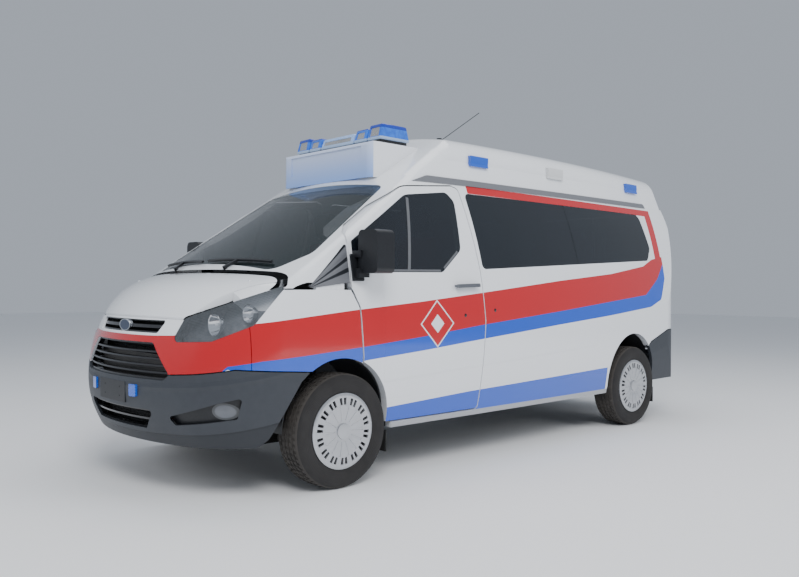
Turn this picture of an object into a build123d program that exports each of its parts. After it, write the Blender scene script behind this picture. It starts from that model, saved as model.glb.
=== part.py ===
from build123d import *
import math
import os

# An ambulance van with a raised roof. Sizes in mm. Stations run forward from the front axle,
# Y is to the left and Z is up from the ground. write() moves every piece to the row's origin,
# which lies on the ground under the middle of the whole length.

# Driving dimensions
WHEELBASE = 3300
FRONT_OVERHANG = 995
REAR_OVERHANG = 990
WIDE = 986              # half width of the body at its widest
WIDE_Z = 870            # height of the widest line
WIDE_X = -1600          # station of the widest section
SIDE_R = 3000           # radius of the sides from sill to gutter
BARREL_R = 69000        # radius of the sides in plan
SILL_Z = 310            # bottom edge of the body
DOOR_Z = 352            # bottom edge of the doors
GUTTER_Z = 1958         # top of the steel body, where the raised roof sits
ROOF_Z = 2337           # crown of the raised roof
WALL = 52               # side wall or door, with its lining
ROOF_WALL = 26          # moulded roof
SKIN = 26               # wings, bonnet and bumpers
GAP = 8                 # shut line round doors and lids
FIT = 0.3               # seat of a pane or lamp in its frame
GLASS = 5

# Wheels
TYRE_R = 343
TYRE_W = 215
RIM_R = 203.8
FRONT_TRACK = 1736
REAR_TRACK = 1720
STUB_R = 30
ARCH_R = 376
ARCHES = [(12, 400), (8 - WHEELBASE, 427)]          # station, height of each arch's centre

# Nose: an arc from the bumper, an arc over the leading edge, then the bonnet's slope
NOSE_R = 1750           # radius of the nose in plan
NOSE_Z = 600            # height of the foremost point
LOW_ARC = (924, 314)    # radius, rise
TOP_ARC_R = 550
BONNET_SLOPE = 15       # degrees
NOSE_TAIL = -420        # station where the nose form ends inside the cab

# Windscreen: a large cylinder whose axis lies along the slope
SCREEN_AT = (420, 1310)
SCREEN_SLOPE = 32.4     # degrees
SCREEN_R = 4290
SCREEN_WALL = 40

REAR_X = -(WHEELBASE + REAR_OVERHANG)
DOOR_FACE = REAR_X + 46                             # rear face of the rear doors at the waist
ROW_X = (FRONT_OVERHANG - REAR_X) / 2 - FRONT_OVERHANG


# --- helpers ---

def write(name, *shapes):
    """Move a piece to the row's origin and write it."""
    solids = [s for shape in shapes for s in shape.solids() if s.volume > 500]
    export_step(Pos(ROW_X, 0, 0) * Compound(children=solids), f"parts/{name}.step")


def block(x, y, z):
    """Box from its low and high corner in each direction."""
    return Pos(sum(x) / 2, sum(y) / 2, sum(z) / 2) * Box(x[1] - x[0], y[1] - y[0], z[1] - z[0])


def mirror_y(shape):
    return mirror(shape, about=Plane.XZ)


def rounded(corners, plane=Plane.XZ):
    """Face from corners (u, v, corner radius) in a plane."""
    ends = []
    for i, (u, v, r) in enumerate(corners):
        at = Vector(u, v)
        back = (Vector(*corners[i - 1][:2]) - at).normalized()
        on = (Vector(*corners[(i + 1) % len(corners)][:2]) - at).normalized()
        if r == 0:
            ends.append((at, at, at))
            continue
        half = math.radians(back.get_angle(on) / 2)
        inward = (back + on).normalized()
        middle = at + inward * (r / math.sin(half) - r)
        ends.append((at + back * (r / math.tan(half)), middle, at + on * (r / math.tan(half))))
    edges = []
    for i, (start, middle, end) in enumerate(ends):
        last = ends[i - 1][2]
        if (start - last).length > 1e-6:
            edges.append(Line(last, start))
        if (end - start).length > 1e-6:
            edges.append(ThreePointArc(start, middle, end))
    return plane * make_face(Curve() + edges)


def side_prism(corners, y, grow=0):
    """Outline (x, z, radius) drawn across the body between two values of y."""
    face = rounded(corners)
    if grow:
        face = offset(face, amount=grow, kind=Kind.INTERSECTION)
    return extrude(Pos(0, y[0], 0) * face, amount=y[1] - y[0], dir=(0, 1, 0))


def lathe(profile, at):
    """Turn a closed profile of (radius, offset along Y) about the Y axis through at."""
    face = Plane.XY * make_face(Polyline(*profile, close=True))
    return Pos(*at) * revolve(face, Axis.Y)


# --- forms ---

def half_width(x, z, inset=0):
    pinch = (x - WIDE_X) ** 2 / (2 * BARREL_R)
    lean = SIDE_R - math.sqrt(SIDE_R ** 2 - (z - WIDE_Z) ** 2)
    return WIDE - pinch - lean - inset


def hull(inset, low, high):
    """The steel body between two heights, as a loft of sections with curved sides."""
    wires = []
    for x in (-4400, -3000, WIDE_X, -200, 700):
        left = [(x, half_width(x, z, inset), z) for z in (low, (low + high) / 2, high)]
        right = [(x, -y, z) for x, y, z in left]
        wires.append(Wire([Line(right[0], left[0]), ThreePointArc(*left),
                           Line(left[2], right[2]), ThreePointArc(*right[::-1])]))
    return Solid.make_loft(wires)


def nose_x(z):
    """Station of the nose on the centre line at a height."""
    radius, rise = LOW_ARC
    if z <= NOSE_Z:
        return FRONT_OVERHANG - (NOSE_Z - z) ** 2 / 1050
    if z <= NOSE_Z + rise:
        return FRONT_OVERHANG - radius + math.sqrt(radius ** 2 - (z - NOSE_Z) ** 2)
    lean = math.asin(rise / radius)
    x = FRONT_OVERHANG - radius + (radius - TOP_ARC_R) * math.cos(lean)
    base = NOSE_Z + (radius - TOP_ARC_R) * math.sin(lean)
    turn = math.radians(90 - BONNET_SLOPE)
    top = base + TOP_ARC_R * math.sin(turn)
    if z <= top:
        return x + math.sqrt(TOP_ARC_R ** 2 - (z - base) ** 2)
    return x + TOP_ARC_R * math.cos(turn) - (z - top) / math.tan(math.radians(BONNET_SLOPE))


NOSE_LEVELS = [  # height, how far the shoulder is in from the side, corner radius
    (300, 0, 450), (450, 0, 480), (NOSE_Z, 0, 500), (760, 0, 470), (914, 0, 430), (1030, 0, 390),
    (1116, 0, 350), (1203, 0, 300), (1258, 19, 280), (1297, 50, 260), (1335, 96, 240)]
HULL_CLEAR = 2          # the wings stand this far inside the hull's side


def nose(inset=0, drop=0):
    """Nose, wings and bonnet, lofted through plan outlines of a nose arc and two corner arcs."""
    wires = []
    for z, shoulder, corner in NOSE_LEVELS:
        big, small = NOSE_R - inset, corner - inset
        wide = half_width(404, z, inset) - HULL_CLEAR - shoulder
        tail = half_width(NOSE_TAIL, z, inset) - HULL_CLEAR - 0.6 * shoulder
        centre = nose_x(z) - NOSE_R
        across = wide - small
        x = centre + math.sqrt((big - small) ** 2 - across ** 2)
        turn = math.atan2(across, x - centre)
        touch = (centre + big * math.cos(turn), big * math.sin(turn))
        mid = (turn + math.pi / 2) / 2
        bend = (x + small * math.cos(mid), across + small * math.sin(mid))

        def point(x, y):
            return (x, y, z - drop)
        wires.append(Wire([
            Line(point(NOSE_TAIL, -tail), point(NOSE_TAIL, tail)),
            Line(point(NOSE_TAIL, tail), point(x, wide)),
            ThreePointArc(point(x, wide), point(*bend), point(*touch)),
            ThreePointArc(point(*touch), point(centre + big, 0), point(touch[0], -touch[1])),
            ThreePointArc(point(touch[0], -touch[1]), point(bend[0], -bend[1]), point(x, -wide)),
            Line(point(x, -wide), point(NOSE_TAIL, -tail))]))
    return Solid.make_loft(wires)


SLOPE = math.radians(SCREEN_SLOPE)
SCREEN_UP = Vector(-math.cos(SLOPE), 0, math.sin(SLOPE))       # up the glass
SCREEN_OUT = Vector(math.sin(SLOPE), 0, math.cos(SLOPE))       # out of the glass
SCREEN_FOOT = Vector(SCREEN_AT[0], 0, SCREEN_AT[1])
SCREEN_PLANE = Plane(origin=SCREEN_FOOT, x_dir=(0, 1, 0), z_dir=SCREEN_OUT)


def screen_form(inset):
    """All that lies behind the windscreen's surface and its run-on over the roof's front."""
    axis = SCREEN_FOOT - SCREEN_OUT * SCREEN_R - SCREEN_UP * 6000
    return Solid.make_cylinder(SCREEN_R - inset, 12000, Plane(origin=axis, z_dir=SCREEN_UP))


def rear_form(inset):
    """All that lies ahead of the rear face, with rounded rear corners."""
    corner = 335
    face = DOOR_FACE + inset
    plan = rounded([(1500, -1300, 0), (1500, 1300, 0), (-3600, 1300, 0), (-3600, 945 - inset, 0),
                    (face - 4, 935 - inset, corner - inset), (face - 4, inset - 935, corner - inset),
                    (-3600, inset - 945, 0), (-3600, -1300, 0)], Plane.XY)
    lean = rounded([(2000, 100, 0), (2000, 2600, 0), (face + 330, 2600, 0), (face + 160, 2180, 160),
                    (face + 62, 1900, 900), (face, 850, 900), (face, 100, 0)])
    return extrude(plan, amount=2700, dir=(0, 0, 1)) & Pos(0, -1300, 0) * extrude(
        lean, amount=2600, dir=(0, 1, 0))


def roof_form(inset):
    """The raised roof: leaning sides, round shoulders and a crowned top."""
    wires = []
    for x, crown in ((-4400, -55), (-3100, -8), (-1800, 0), (200, -22)):
        foot = half_width(x, GUTTER_Z) - 7 - inset
        top = ROOF_Z + crown - inset
        knee, shoulder = (foot - 36, GUTTER_Z + 150), (foot - 134, top - 60)
        bend = (foot - 62, top - 118)
        left = [(foot, GUTTER_Z), knee, bend, shoulder]
        left = [(x, y, z) for y, z in left]
        right = [(x, -y, z) for x, y, z in left]
        wires.append(Wire([
            Line(right[0], left[0]), Line(left[0], left[1]), ThreePointArc(*left[1:]),
            ThreePointArc(left[3], (x, 0, top), right[3]), ThreePointArc(*right[:0:-1]),
            Line(right[1], right[0])]))
    return Solid.make_loft(wires)


def arch(i, grow=0):
    """Cylinder across the body at one axle's wheel arches."""
    x, z = ARCHES[i]
    return Pos(x, 0, z) * Rot(90, 0, 0) * Cylinder(ARCH_R + grow, 2400)


def arch_foot(i, grow=0):
    """The arch with its mouth down to the ground."""
    x, z = ARCHES[i]
    return arch(i, grow) + block((x - ARCH_R - grow + 2, x + ARCH_R + grow - 2), (-1200, 1200), (0, z - 60))


LEFT = (300, 1300)       # y of cuts through the left side only
BOTH = (-1300, 1300)

os.makedirs("parts", exist_ok=True)

# --- outlines on the side (station, height, corner radius) ---
DOOR = [(-72, 1180, 0), (-60, 1431, 60), (-75, 1520, 60), (-151, 1585, 100), (-358, 1722, 0), (-620, 1872, 160),
        (-1099, 1914, 40), (-1165, 1896, 40), (-1244, 1324, 200), (-1272, 960, 200), (-1230, DOOR_Z, 30),
        (-250, DOOR_Z, 0), (-152, 700, 0), (-155, 778, 0), (-131, 1079, 60)]
DOOR_PANE = [(-98, 1290, 30), (-98, 1480, 20), (-620, 1812, 160), (-1031, 1862, 60), (-1094, 1800, 60),
             (-1069, 1457, 60), (-865, 1300, 60)]
SIDE_PANE = [(-1276, 1328, 40), (-1220, 1870, 40), (-3653, 1877, 80), (-3717, 1564, 60), (-3634, 1451, 50)]
PANE_SPLIT = [(-2481, 1380, 0), (-2429, 1900, 0), (-2425, 1900, 0), (-2477, 1380, 0)]
SLIDER = [(-1310, DOOR_Z, 40), (-1310, 1300, 0), (-1250, 1905, 50), (-2480, 1905, 60), (-2510, DOOR_Z, 40)]
SLIDER_PANE = [(-1390, 1345, 50), (-1345, 1850, 50), (-2400, 1858, 60), (-2425, 1400, 50)]
REAR_PANE = [(-2590, 1412, 50), (-2575, 1868, 50), (-3653, 1877, 80), (-3717, 1564, 60), (-3634, 1451, 50)]
TRIM = [(254, 1188, 12), (-62, 1226, 0), (-56, 1431, 0), (-62, 1474, 12)]
RAIL = [(-724, 1918, 0), (-880, 1970, 30), (-3820, 1992, 20), (-3835, 1952, 0), (-1262, 1928, 0)]

# --- outlines on the screen, nose and rear ---
SCREEN = [(-700, 60, 120), (-825, 300, 120), (-672, 1150, 70), (672, 1150, 70), (825, 300, 120), (700, 60, 120)]
HEADLAMP = [(-306, 884, 25), (-60, 896, 60), (170, 985, 40), (338, 1212, 12), (40, 1112, 120), (-238, 1018, 40)]
FOG = [(-318, 470, 15), (-270, 425, 15), (84, 471, 15), (114, 588, 15), (-20, 560, 60)]
SLOT = [(-378, 930, 20), (378, 930, 20), (412, 1003, 15), (-412, 1003, 15)]
GRILLE = [(-500, 672, 25), (500, 672, 25), (545, 702, 20), (370, 878, 40), (-370, 878, 40), (-545, 702, 20)]
INTAKE = [(-316, 384, 20), (316, 384, 20), (420, 500, 20), (-420, 500, 20)]
PLATE_X = 989            # front of the number plate's bracket
STROBE = [(228, 566, 8), (292, 566, 8), (292, 636, 8), (228, 636, 8)]
REAR_SILL = 600
REAR_TOP = 1925
REAR_HINGE_Y = 800
REAR_DOOR = [(0, REAR_SILL, 0), (REAR_HINGE_Y, REAR_SILL, 30), (REAR_HINGE_Y, 1380, 500), (704, REAR_TOP, 70),
             (0, REAR_TOP, 0)]
REAR_HOLE = [(110, 1330, 60), (680, 1330, 60), (622, 1800, 60), (110, 1800, 60)]
CAP = [(-3690, 360, 0), (-3560, 692, 40), (-3930, 812, 60), (-4400, 818, 0), (-4400, 360, 0)]
TAIL_LAMP = ((-4400, -4092), (812, 1100), (862, 1345))
LAMP_ANGLE = 48          # the headlamps' outlines face this far out from straight ahead
LAMP_SIN = math.sin(math.radians(LAMP_ANGLE))
LAMP_COS = math.cos(math.radians(LAMP_ANGLE))
LAMP_PLANE = Plane(origin=(0, 0, 0), x_dir=(-LAMP_SIN, LAMP_COS, 0), z_dir=(LAMP_COS, LAMP_SIN, 0))


def grown(face, amount):
    return offset(face, amount=amount, kind=Kind.INTERSECTION) if amount else face


def screen_prism(amount=0):
    face = grown(rounded(SCREEN, SCREEN_PLANE), amount)
    return extrude(Pos(SCREEN_OUT * -300) * face, amount=500, dir=SCREEN_OUT)


def lamp_prism(corners, amount=0):
    face = grown(rounded(corners, LAMP_PLANE), amount)
    return extrude(Pos(LAMP_PLANE.z_dir * 500) * face, amount=800, dir=LAMP_PLANE.z_dir)


def nose_prism(corners, amount=0):
    """Outline (y, z, radius) cut back through the nose."""
    return extrude(Pos(760, 0, 0) * grown(rounded(corners, Plane.YZ), amount), amount=400, dir=(1, 0, 0))


def rear_prism(corners, amount=0):
    """Outline (y, z, radius) cut forward through the rear doors."""
    return extrude(Pos(-4400, 0, 0) * grown(rounded(corners, Plane.YZ), amount), amount=450, dir=(1, 0, 0))


def plan_prism(face, low, high, amount=0):
    return extrude(Pos(0, 0, low) * (offset(face, amount=amount) if amount else face), amount=high - low,
                   dir=(0, 0, 1))


def both(shape):
    return shape + mirror_y(shape)


def upright(x, y, radius, z):
    return Pos(x, y, (z[0] + z[1]) / 2) * Cylinder(radius, z[1] - z[0])


# --- whole forms ---
cabin = hull(0, SILL_Z, GUTTER_Z) & screen_form(0) & block((-5000, 480), BOTH, (0, 2600))
pillars = [e for e in cabin.edges()
           if e.geom_type != GeomType.LINE and 1300 < e.center().Z < 1950 and abs(e.center().Y) > 400]
cabin = cabin.fillet(70, pillars) & rear_form(0)
room = hull(WALL, SILL_Z - 50, GUTTER_Z + 50) & screen_form(SCREEN_WALL) & rear_form(WALL)
shell = cabin - room
front_shell = nose() - nose(SKIN, SKIN)
cowl_clear = nose(-GAP, -GAP)
cabin_clear = hull(-GAP, 1190 - GAP, GUTTER_Z) & screen_form(-GAP) & block((-600, 500), BOTH, (1190 - GAP, 1600))
pane_layer = hull(2, SILL_Z - 10, GUTTER_Z + 10) - hull(2 + GLASS, SILL_Z - 20, GUTTER_Z + 20)
MIDDLE = (-560, 560)     # y of the body's middle, between the two side panels
door_cut = side_prism(DOOR, LEFT, GAP / 2)
tail_zone = block(*TAIL_LAMP)

# --- front door hinges: arms on the doors reach round the wings' rear edges ---
HINGE_X, HINGE_Y = -40, 922
HINGES = [(860, 122), (1110, 89)]                    # height, inner radius of the arm's bow
FRONT_CLEAR = [(650, 126, 126), (778, 126, 101.5), (1079, 101.5, 51.5), (1180, 51.5, 37), (1200, 37, 37), (1560, 0, 0)]
PIN_R = 6
ARM_HIGH = 30
hinge_arms = []
hinge_posts = block((0, 45), (872, 912), (800, 1190 - FIT))
for z, bow in HINGES:
    ring = upright(0, 0, bow + 12, (-ARM_HIGH / 2, ARM_HIGH / 2)) - upright(0, 0, bow, (-ARM_HIGH, ARM_HIGH))
    sector = Polyline((0, 0), (-400, 30), (-400, -400), (-128, -352), close=True)
    bow_part = ring & extrude(Pos(0, 0, -ARM_HIGH) * make_face(sector), amount=2 * ARM_HIGH, dir=(0, 0, 1))
    bar = Rot(0, 0, 248) * block((0, bow + 11), (-7, 7), (-ARM_HIGH / 2, ARM_HIGH / 2))
    eye = upright(0, 0, 13, (-ARM_HIGH / 2, ARM_HIGH / 2))
    arm = (bow_part + bar + eye) - upright(0, 0, PIN_R + 0.05, (-40, 40))
    hinge_arms.append(Pos(HINGE_X, HINGE_Y, z) * arm)
    for low, high in ((-30, -ARM_HIGH / 2 - FIT), (ARM_HIGH / 2 + FIT, 30)):
        lug = upright(HINGE_X, HINGE_Y, 12, (z + low, z + high))
        lug = lug + block((HINGE_X, 5), (900, HINGE_Y), (z + low, z + high))
        hinge_posts = hinge_posts + lug
    hinge_posts = hinge_posts + upright(HINGE_X, HINGE_Y, PIN_R, (z - 30, z + 30))
write("hinge_posts", hinge_posts, mirror_y(hinge_posts))
door_clear = None
for (low, r, top_r), (high, *rest) in zip(FRONT_CLEAR, FRONT_CLEAR[1:]):
    step = Solid.make_cone(r, top_r, high - low, Plane((HINGE_X, HINGE_Y, low))) if r != top_r else \
        Solid.make_cylinder(r, high - low, Plane((HINGE_X, HINGE_Y, low)))
    door_clear = step if door_clear is None else door_clear + step

# --- bonnet hinges: swan-neck arms that pass under the foot of the windscreen ---
BONNET_HINGE = (250, 700, 1230)
BONNET_BOW = 122
ARM_WIDE = 20
bonnet_arm = Rot(90, 0, 0) * (Cylinder(BONNET_BOW + 12, ARM_WIDE) - Cylinder(BONNET_BOW, 2 * ARM_WIDE))
sector = Plane.XZ * make_face(Polyline((0, 0), (300, 8), (300, -300), (140, -300), close=True))
bonnet_arm = bonnet_arm & extrude(Pos(0, -ARM_WIDE, 0) * sector, amount=2 * ARM_WIDE, dir=(0, 1, 0))
bonnet_arm = bonnet_arm + Rot(0, 63, 0) * block((0, BONNET_BOW + 11), (-ARM_WIDE / 2, ARM_WIDE / 2), (-7, 7))
bonnet_arm = bonnet_arm + Rot(90, 0, 0) * Cylinder(12, ARM_WIDE)
bonnet_arm = bonnet_arm + block((BONNET_BOW + 1, 245), (-ARM_WIDE / 2, ARM_WIDE / 2), (-8, 6))
bonnet_arm = Pos(*BONNET_HINGE) * (bonnet_arm - Rot(90, 0, 0) * Cylinder(PIN_R + 0.05, 60))
LUG = ARM_WIDE / 2 + FIT
bonnet_lugs = Pos(*BONNET_HINGE) * (Rot(90, 0, 0) * Cylinder(PIN_R, 2 * LUG + ARM_WIDE))
for y in ((700 - LUG - 10, 700 - LUG), (700 + LUG, 710 + LUG)):
    bonnet_lugs = bonnet_lugs + block((40, 262), y, (1216, 1244))

# --- rear door hinges ---
REAR_HINGE_X = DOOR_FACE + 50
REAR_HINGES = (880, 1110, 1330)
REAR_PIN_R = 4
EYE_HIGH = 18            # half height of an eye
rear_leaves = []
rear_brackets = None
for z in REAR_HINGES:
    leaf = block((REAR_HINGE_X - 9, REAR_HINGE_X + 1), (752, REAR_HINGE_Y), (z - EYE_HIGH, z + EYE_HIGH))
    leaf = leaf + upright(REAR_HINGE_X, REAR_HINGE_Y, 9, (z - EYE_HIGH, z + EYE_HIGH))
    rear_leaves.append(leaf)
    bracket = upright(REAR_HINGE_X, REAR_HINGE_Y, REAR_PIN_R, (z - EYE_HIGH - 20, z + EYE_HIGH + 20))
    for low in (z - EYE_HIGH - 20, z + EYE_HIGH + FIT):
        high = low + 20 - FIT
        bracket = bracket + upright(REAR_HINGE_X, REAR_HINGE_Y, 9, (low, high))
        bracket = bracket + block((REAR_HINGE_X, REAR_HINGE_X + 30), (REAR_HINGE_Y, 812), (low, high))
    rear_brackets = bracket if rear_brackets is None else rear_brackets + bracket

# --- steel body ---
left_side = shell - screen_prism() - cowl_clear - door_cut - arch_foot(0) - arch_foot(1)
left_side = left_side - block((-58, 1200), LEFT, (0, 1190))       # wing country, below the quarter trim
left_side = left_side & block((-5000, 480), (MIDDLE[1], 1300), (0, 2600))
left_side = left_side - rear_prism(REAR_DOOR) - tail_zone - side_prism(CAP, LEFT, GAP)
left_side = left_side - (side_prism(TRIM, LEFT) - hull(20, 1000, 1700))
for z in REAR_HINGES:
    left_side = left_side - upright(REAR_HINGE_X, REAR_HINGE_Y, 15, (z - EYE_HIGH - 3, z + EYE_HIGH + 3))
left_side = max(left_side.solids(), key=lambda s: s.volume) + rear_brackets
right_side = mirror_y(left_side)
left_side = left_side - side_prism(SIDE_PANE, LEFT)
right_side = right_side - mirror_y(side_prism(SLIDER, LEFT, GAP / 2) + side_prism(REAR_PANE, LEFT))
write("side_left", left_side)
write("side_right", right_side)
slider = shell & block((-5000, 480), (-1300, MIDDLE[0]), (0, 2600)) & mirror_y(side_prism(SLIDER, LEFT, -GAP / 2))
write("sliding_door", slider - mirror_y(side_prism(SLIDER_PANE, LEFT)))
panes = (pane_layer & side_prism(SIDE_PANE, LEFT, -FIT)) - side_prism(PANE_SPLIT, LEFT)
right_panes = [mirror_y(pane_layer & side_prism(pane, LEFT, -FIT)) for pane in (REAR_PANE, SLIDER_PANE)]
write("side_glass", panes, *right_panes)
middle = (shell - screen_prism() - cowl_clear) & block((-5000, 480), MIDDLE, (0, 2600))
write("header", middle & block((-1200, 480), BOTH, (1700, 2600)))
write("rear_header", (middle & block((-5000, -3900), BOTH, (REAR_TOP, 2600))) - both(rear_prism(REAR_DOOR)))
write("cowl", middle & block((-200, 480), BOTH, (1150, 1600)))
write("windscreen", ((cabin & screen_form(2)) - screen_form(2 + GLASS)) & screen_prism(-FIT))
trims = (hull(0, 1000, 1700) - hull(20 - FIT, 900, 1800)) & side_prism(TRIM, LEFT, -FIT) & screen_form(2)
rail_form = (hull(-6, 1850, 2050) - hull(0, 1800, GUTTER_Z)) - roof_form(0)
rail = rail_form & side_prism(RAIL, LEFT)
write("side_trims", both(trims), both(rail))

# --- doors ---
left_shell = shell & block((-5000, 480), LEFT, (0, 2600))
door = (left_shell & side_prism(DOOR, LEFT, -GAP / 2)) - side_prism(DOOR_PANE, LEFT) - arch_foot(0, GAP)
door = door - door_clear
for arm in hinge_arms:
    door = door + arm
write("door_front_left", door)
write("door_front_right", mirror_y(door))
door_pane = pane_layer & side_prism(DOOR_PANE, LEFT, -FIT)
write("door_glass_left", door_pane)
write("door_glass_right", mirror_y(door_pane))
head_face = rounded([(962, 1283, 40), (1136, 1283, 30), (1136, 1545, 40), (962, 1545, 30)], Plane.YZ)
mirror_head = extrude(Pos(-250, 0, 0) * head_face, amount=138, dir=(1, 0, 0))
SAIL = [(-78, 1236, 0), (-74, 1420, 10), (-160, 1310, 20), (-165, 1236, 10)]
sail = hull(-14, 1100, 1600) & side_prism(SAIL, LEFT)
arms = block((-170, -90), (880, 1000), (1258, 1312)) + block((-150, -100), (880, 1000), (1380, 1420))
mirror_set = (mirror_head + sail + arms) - hull(0, 1000, 1700)
HANDLE = [(-1190, 1203, 12), (-965, 1197, 12), (-965, 1221, 12), (-1190, 1229, 12)]
handle = (hull(-40, 1100, 1300) - hull(-22, 1000, 1400)) & side_prism(HANDLE, LEFT)
feet = block((-1185, -1150), LEFT, (1207, 1225)) + block((-1005, -970), LEFT, (1203, 1217))
handle = handle + ((hull(-30, 1100, 1300) - hull(0, 1000, 1400)) & feet)
for side, flip in (("left", lambda s: s), ("right", mirror_y)):
    write("door_fittings_" + side, flip(mirror_set), flip(handle))

rear_shell = shell & block((-4400, -3950), BOTH, (0, 2600))
rear_door = rear_shell & rear_prism(REAR_DOOR, -GAP) & block((-4400, -3950), (GAP / 2, 1000), (0, 2600))
rear_door = rear_door - rear_prism(REAR_HOLE)
for z in REAR_HINGES:
    for low in (z - EYE_HIGH - 22, z + EYE_HIGH + FIT / 2):
        rear_door = rear_door - upright(REAR_HINGE_X, REAR_HINGE_Y, 14, (low, low + 22 - FIT / 2))
for leaf in rear_leaves:
    rear_door = rear_door + leaf
rear_door = rear_door - upright(REAR_HINGE_X, REAR_HINGE_Y, REAR_PIN_R + 0.05, (REAR_SILL, REAR_TOP))
rear_glass = (hull(0, 1200, 1900) & (rear_form(2) - rear_form(2 + GLASS))) & rear_prism(REAR_HOLE, -FIT)
write("rear_door_left", rear_door)
write("rear_door_right", mirror_y(rear_door))
write("rear_glass_left", rear_glass)
write("rear_glass_right", mirror_y(rear_glass))
tail = (hull(0, 700, 1500) & rear_form(0)) - (hull(40, 700, 1500) & rear_form(40))
tail = tail & block(*[(low + FIT, high - FIT) for low, high in TAIL_LAMP])
write("tail_lamps", tail, mirror_y(tail))

# --- nose ---
BONNET_CORNERS = ((205, 806), (378, 880), (796, 560))      # rear, side and front corner of the bonnet
rear_corner, side_corner, front_corner = BONNET_CORNERS
bonnet_plan = Plane.XY * make_face(Curve() + [
    ThreePointArc((205, -806), (432, 0), rear_corner), Line(rear_corner, side_corner),
    Line(side_corner, front_corner), ThreePointArc(front_corner, (884, 0), (796, -560)),
    Line((796, -560), (378, -880)), Line((378, -880), (205, -806))])
BUMPER = [(1200, 250, 0), (1200, 700, 0), (902, 702, 0), (683, 740, 0), (480, 724, 0), (240, 705, 0),
          (296, 655, 0), (486, 342, 60), (600, 250, 0)]
ABOVE_BUMPER = [(1200, 1600, 0), (-600, 1600, 0), (-600, 712, 0), (240, 712, 0), (480, 731, 0),
                (683, 747, 0), (902, 709, 0), (1200, 707, 0)]
PANEL_X = 608            # joint between nose panel and wings
bonnet = (front_shell & plan_prism(bonnet_plan, 900, 1500)) - both(lamp_prism(HEADLAMP, GAP)) - cabin_clear - nose_prism(SLOT, GAP)
write("bonnet", bonnet + bonnet_arm + mirror_y(bonnet_arm))
fixed_nose = front_shell - plan_prism(bonnet_plan, 900, 1500, GAP) - both(lamp_prism(HEADLAMP, FIT))
fixed_nose = fixed_nose & side_prism(ABOVE_BUMPER, BOTH)
mouths = nose_prism(SLOT) + nose_prism(GRILLE)
write("nose_panel", (fixed_nose & block((PANEL_X, 1200), BOTH, (600, 1020))) - mouths)
wing = (fixed_nose & block((-160, PANEL_X - GAP / 2), LEFT, (600, 1400))) - cabin_clear
wing = wing - door_cut - arch_foot(0) - upright(HINGE_X, HINGE_Y, 19, (815, 1160))
arm_z = HINGES[1][0]
arm_room = ARM_HIGH / 2 + 6
wing = wing - block((HINGE_X - 110, HINGE_X), (900, HINGE_Y + 13), (arm_z - arm_room, arm_z + arm_room))
write("wings", wing, mirror_y(wing))
bumper = (front_shell & side_prism(BUMPER, BOTH)) - nose_prism(GRILLE) - nose_prism(INTAKE)
bumper = bumper - both(lamp_prism(FOG, FIT))
bumper = bumper - block((PLATE_X - 6 - FIT, 1200), (-170 - FIT, 170 + FIT), (522 - FIT, 642 + FIT))
bolts = [Pos(980, y, z) * Rot(0, 90, 0) * Cylinder(3.5, 100) for y in (-100, 100) for z in (555, 609)]
for bolt in bolts:
    bumper = bumper - bolt
write("front_bumper", bumper)
headlamp = (nose(4) - nose(110, 60)) & lamp_prism(HEADLAMP)
write("headlamps", headlamp, mirror_y(headlamp))
fog = (nose(30) - nose(60)) & lamp_prism(FOG)
write("fog_lamps", fog, mirror_y(fog))
plate = block((PLATE_X - 6, PLATE_X), (-170, 170), (522, 642))
for bolt in bolts:
    plate = plate - bolt
write("plate_bracket", plate)
strobe = (nose(-13) - nose()) & nose_prism(STROBE)
write("strobes", strobe, mirror_y(strobe))
grille_layer = nose(14) - nose(44)
GRILLES = [(SLOT, 8, (966,), 9), (GRILLE, 12, (712, 750, 788, 826), 5), (INTAKE, 10, (443,), 6)]
grilles = []             # outline, frame width, heights of slats, half height of a slat
for corners, frame, heights, half in GRILLES:
    inner = nose_prism(corners, -FIT - frame)
    piece = grille_layer & (nose_prism(corners, -FIT) - inner)
    for z in heights:
        piece = piece + (grille_layer & nose_prism(corners, -FIT - frame / 2) & block((700, 1200), BOTH, (z - half, z + half)))
    grilles.append(piece)
badge = Plane.YZ * Ellipse(72, 34)
grilles[0] = grilles[0] + extrude(Pos(890, 0, 966) * badge, amount=24, dir=(1, 0, 0))
write("grilles", *grilles)

# --- raised roof and what it carries ---
roof = roof_form(0) & screen_form(0)
front_edges = [e for e in roof.edges() if e.center().X > -1300 and e.center().Z > GUTTER_Z + 30
               and e.bounding_box().size.X < 900 and e.length > 60]
roof = roof.fillet(90, front_edges) & rear_form(10)
write("raised_roof", roof - (roof_form(ROOF_WALL) & screen_form(ROOF_WALL) & rear_form(10 + ROOF_WALL)))
BOX_FACE, BOX_HALF, BOX_TOP = -600, 517, 2208
box_plan = rounded([(BOX_FACE, -BOX_HALF, 50), (BOX_FACE, BOX_HALF, 50), (-1150, BOX_HALF, 0),
                    (-1150, -BOX_HALF, 0)], Plane.XY)
box_side = [(BOX_FACE, GUTTER_Z, 0), (BOX_FACE, BOX_TOP, 25), (-1150, BOX_TOP, 0), (-1150, GUTTER_Z, 0)]
sign_box = plan_prism(box_plan, GUTTER_Z + 1, BOX_TOP + 10) & side_prism(box_side, BOTH)
sign_box = sign_box - roof - block((BOX_FACE - 8, 0), (-411, 411), (2045, 2181))
write("roof_sign_box", sign_box)
bar_plan = rounded([(-1000, -500, 60), (-700, -500, 60), (-700, 500, 60), (-1000, 500, 60)], Plane.XY)
light_bar = plan_prism(bar_plan, BOX_TOP + 27, BOX_TOP + 54)
light_bar = light_bar + plan_prism(bar_plan, BOX_TOP + 54, BOX_TOP + 127, -12)
light_bar = light_bar + both(plan_prism(bar_plan, BOX_TOP + 54, BOX_TOP + 144, -12) & block(BOTH, (190, 500), (0, 2600)))
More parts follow.
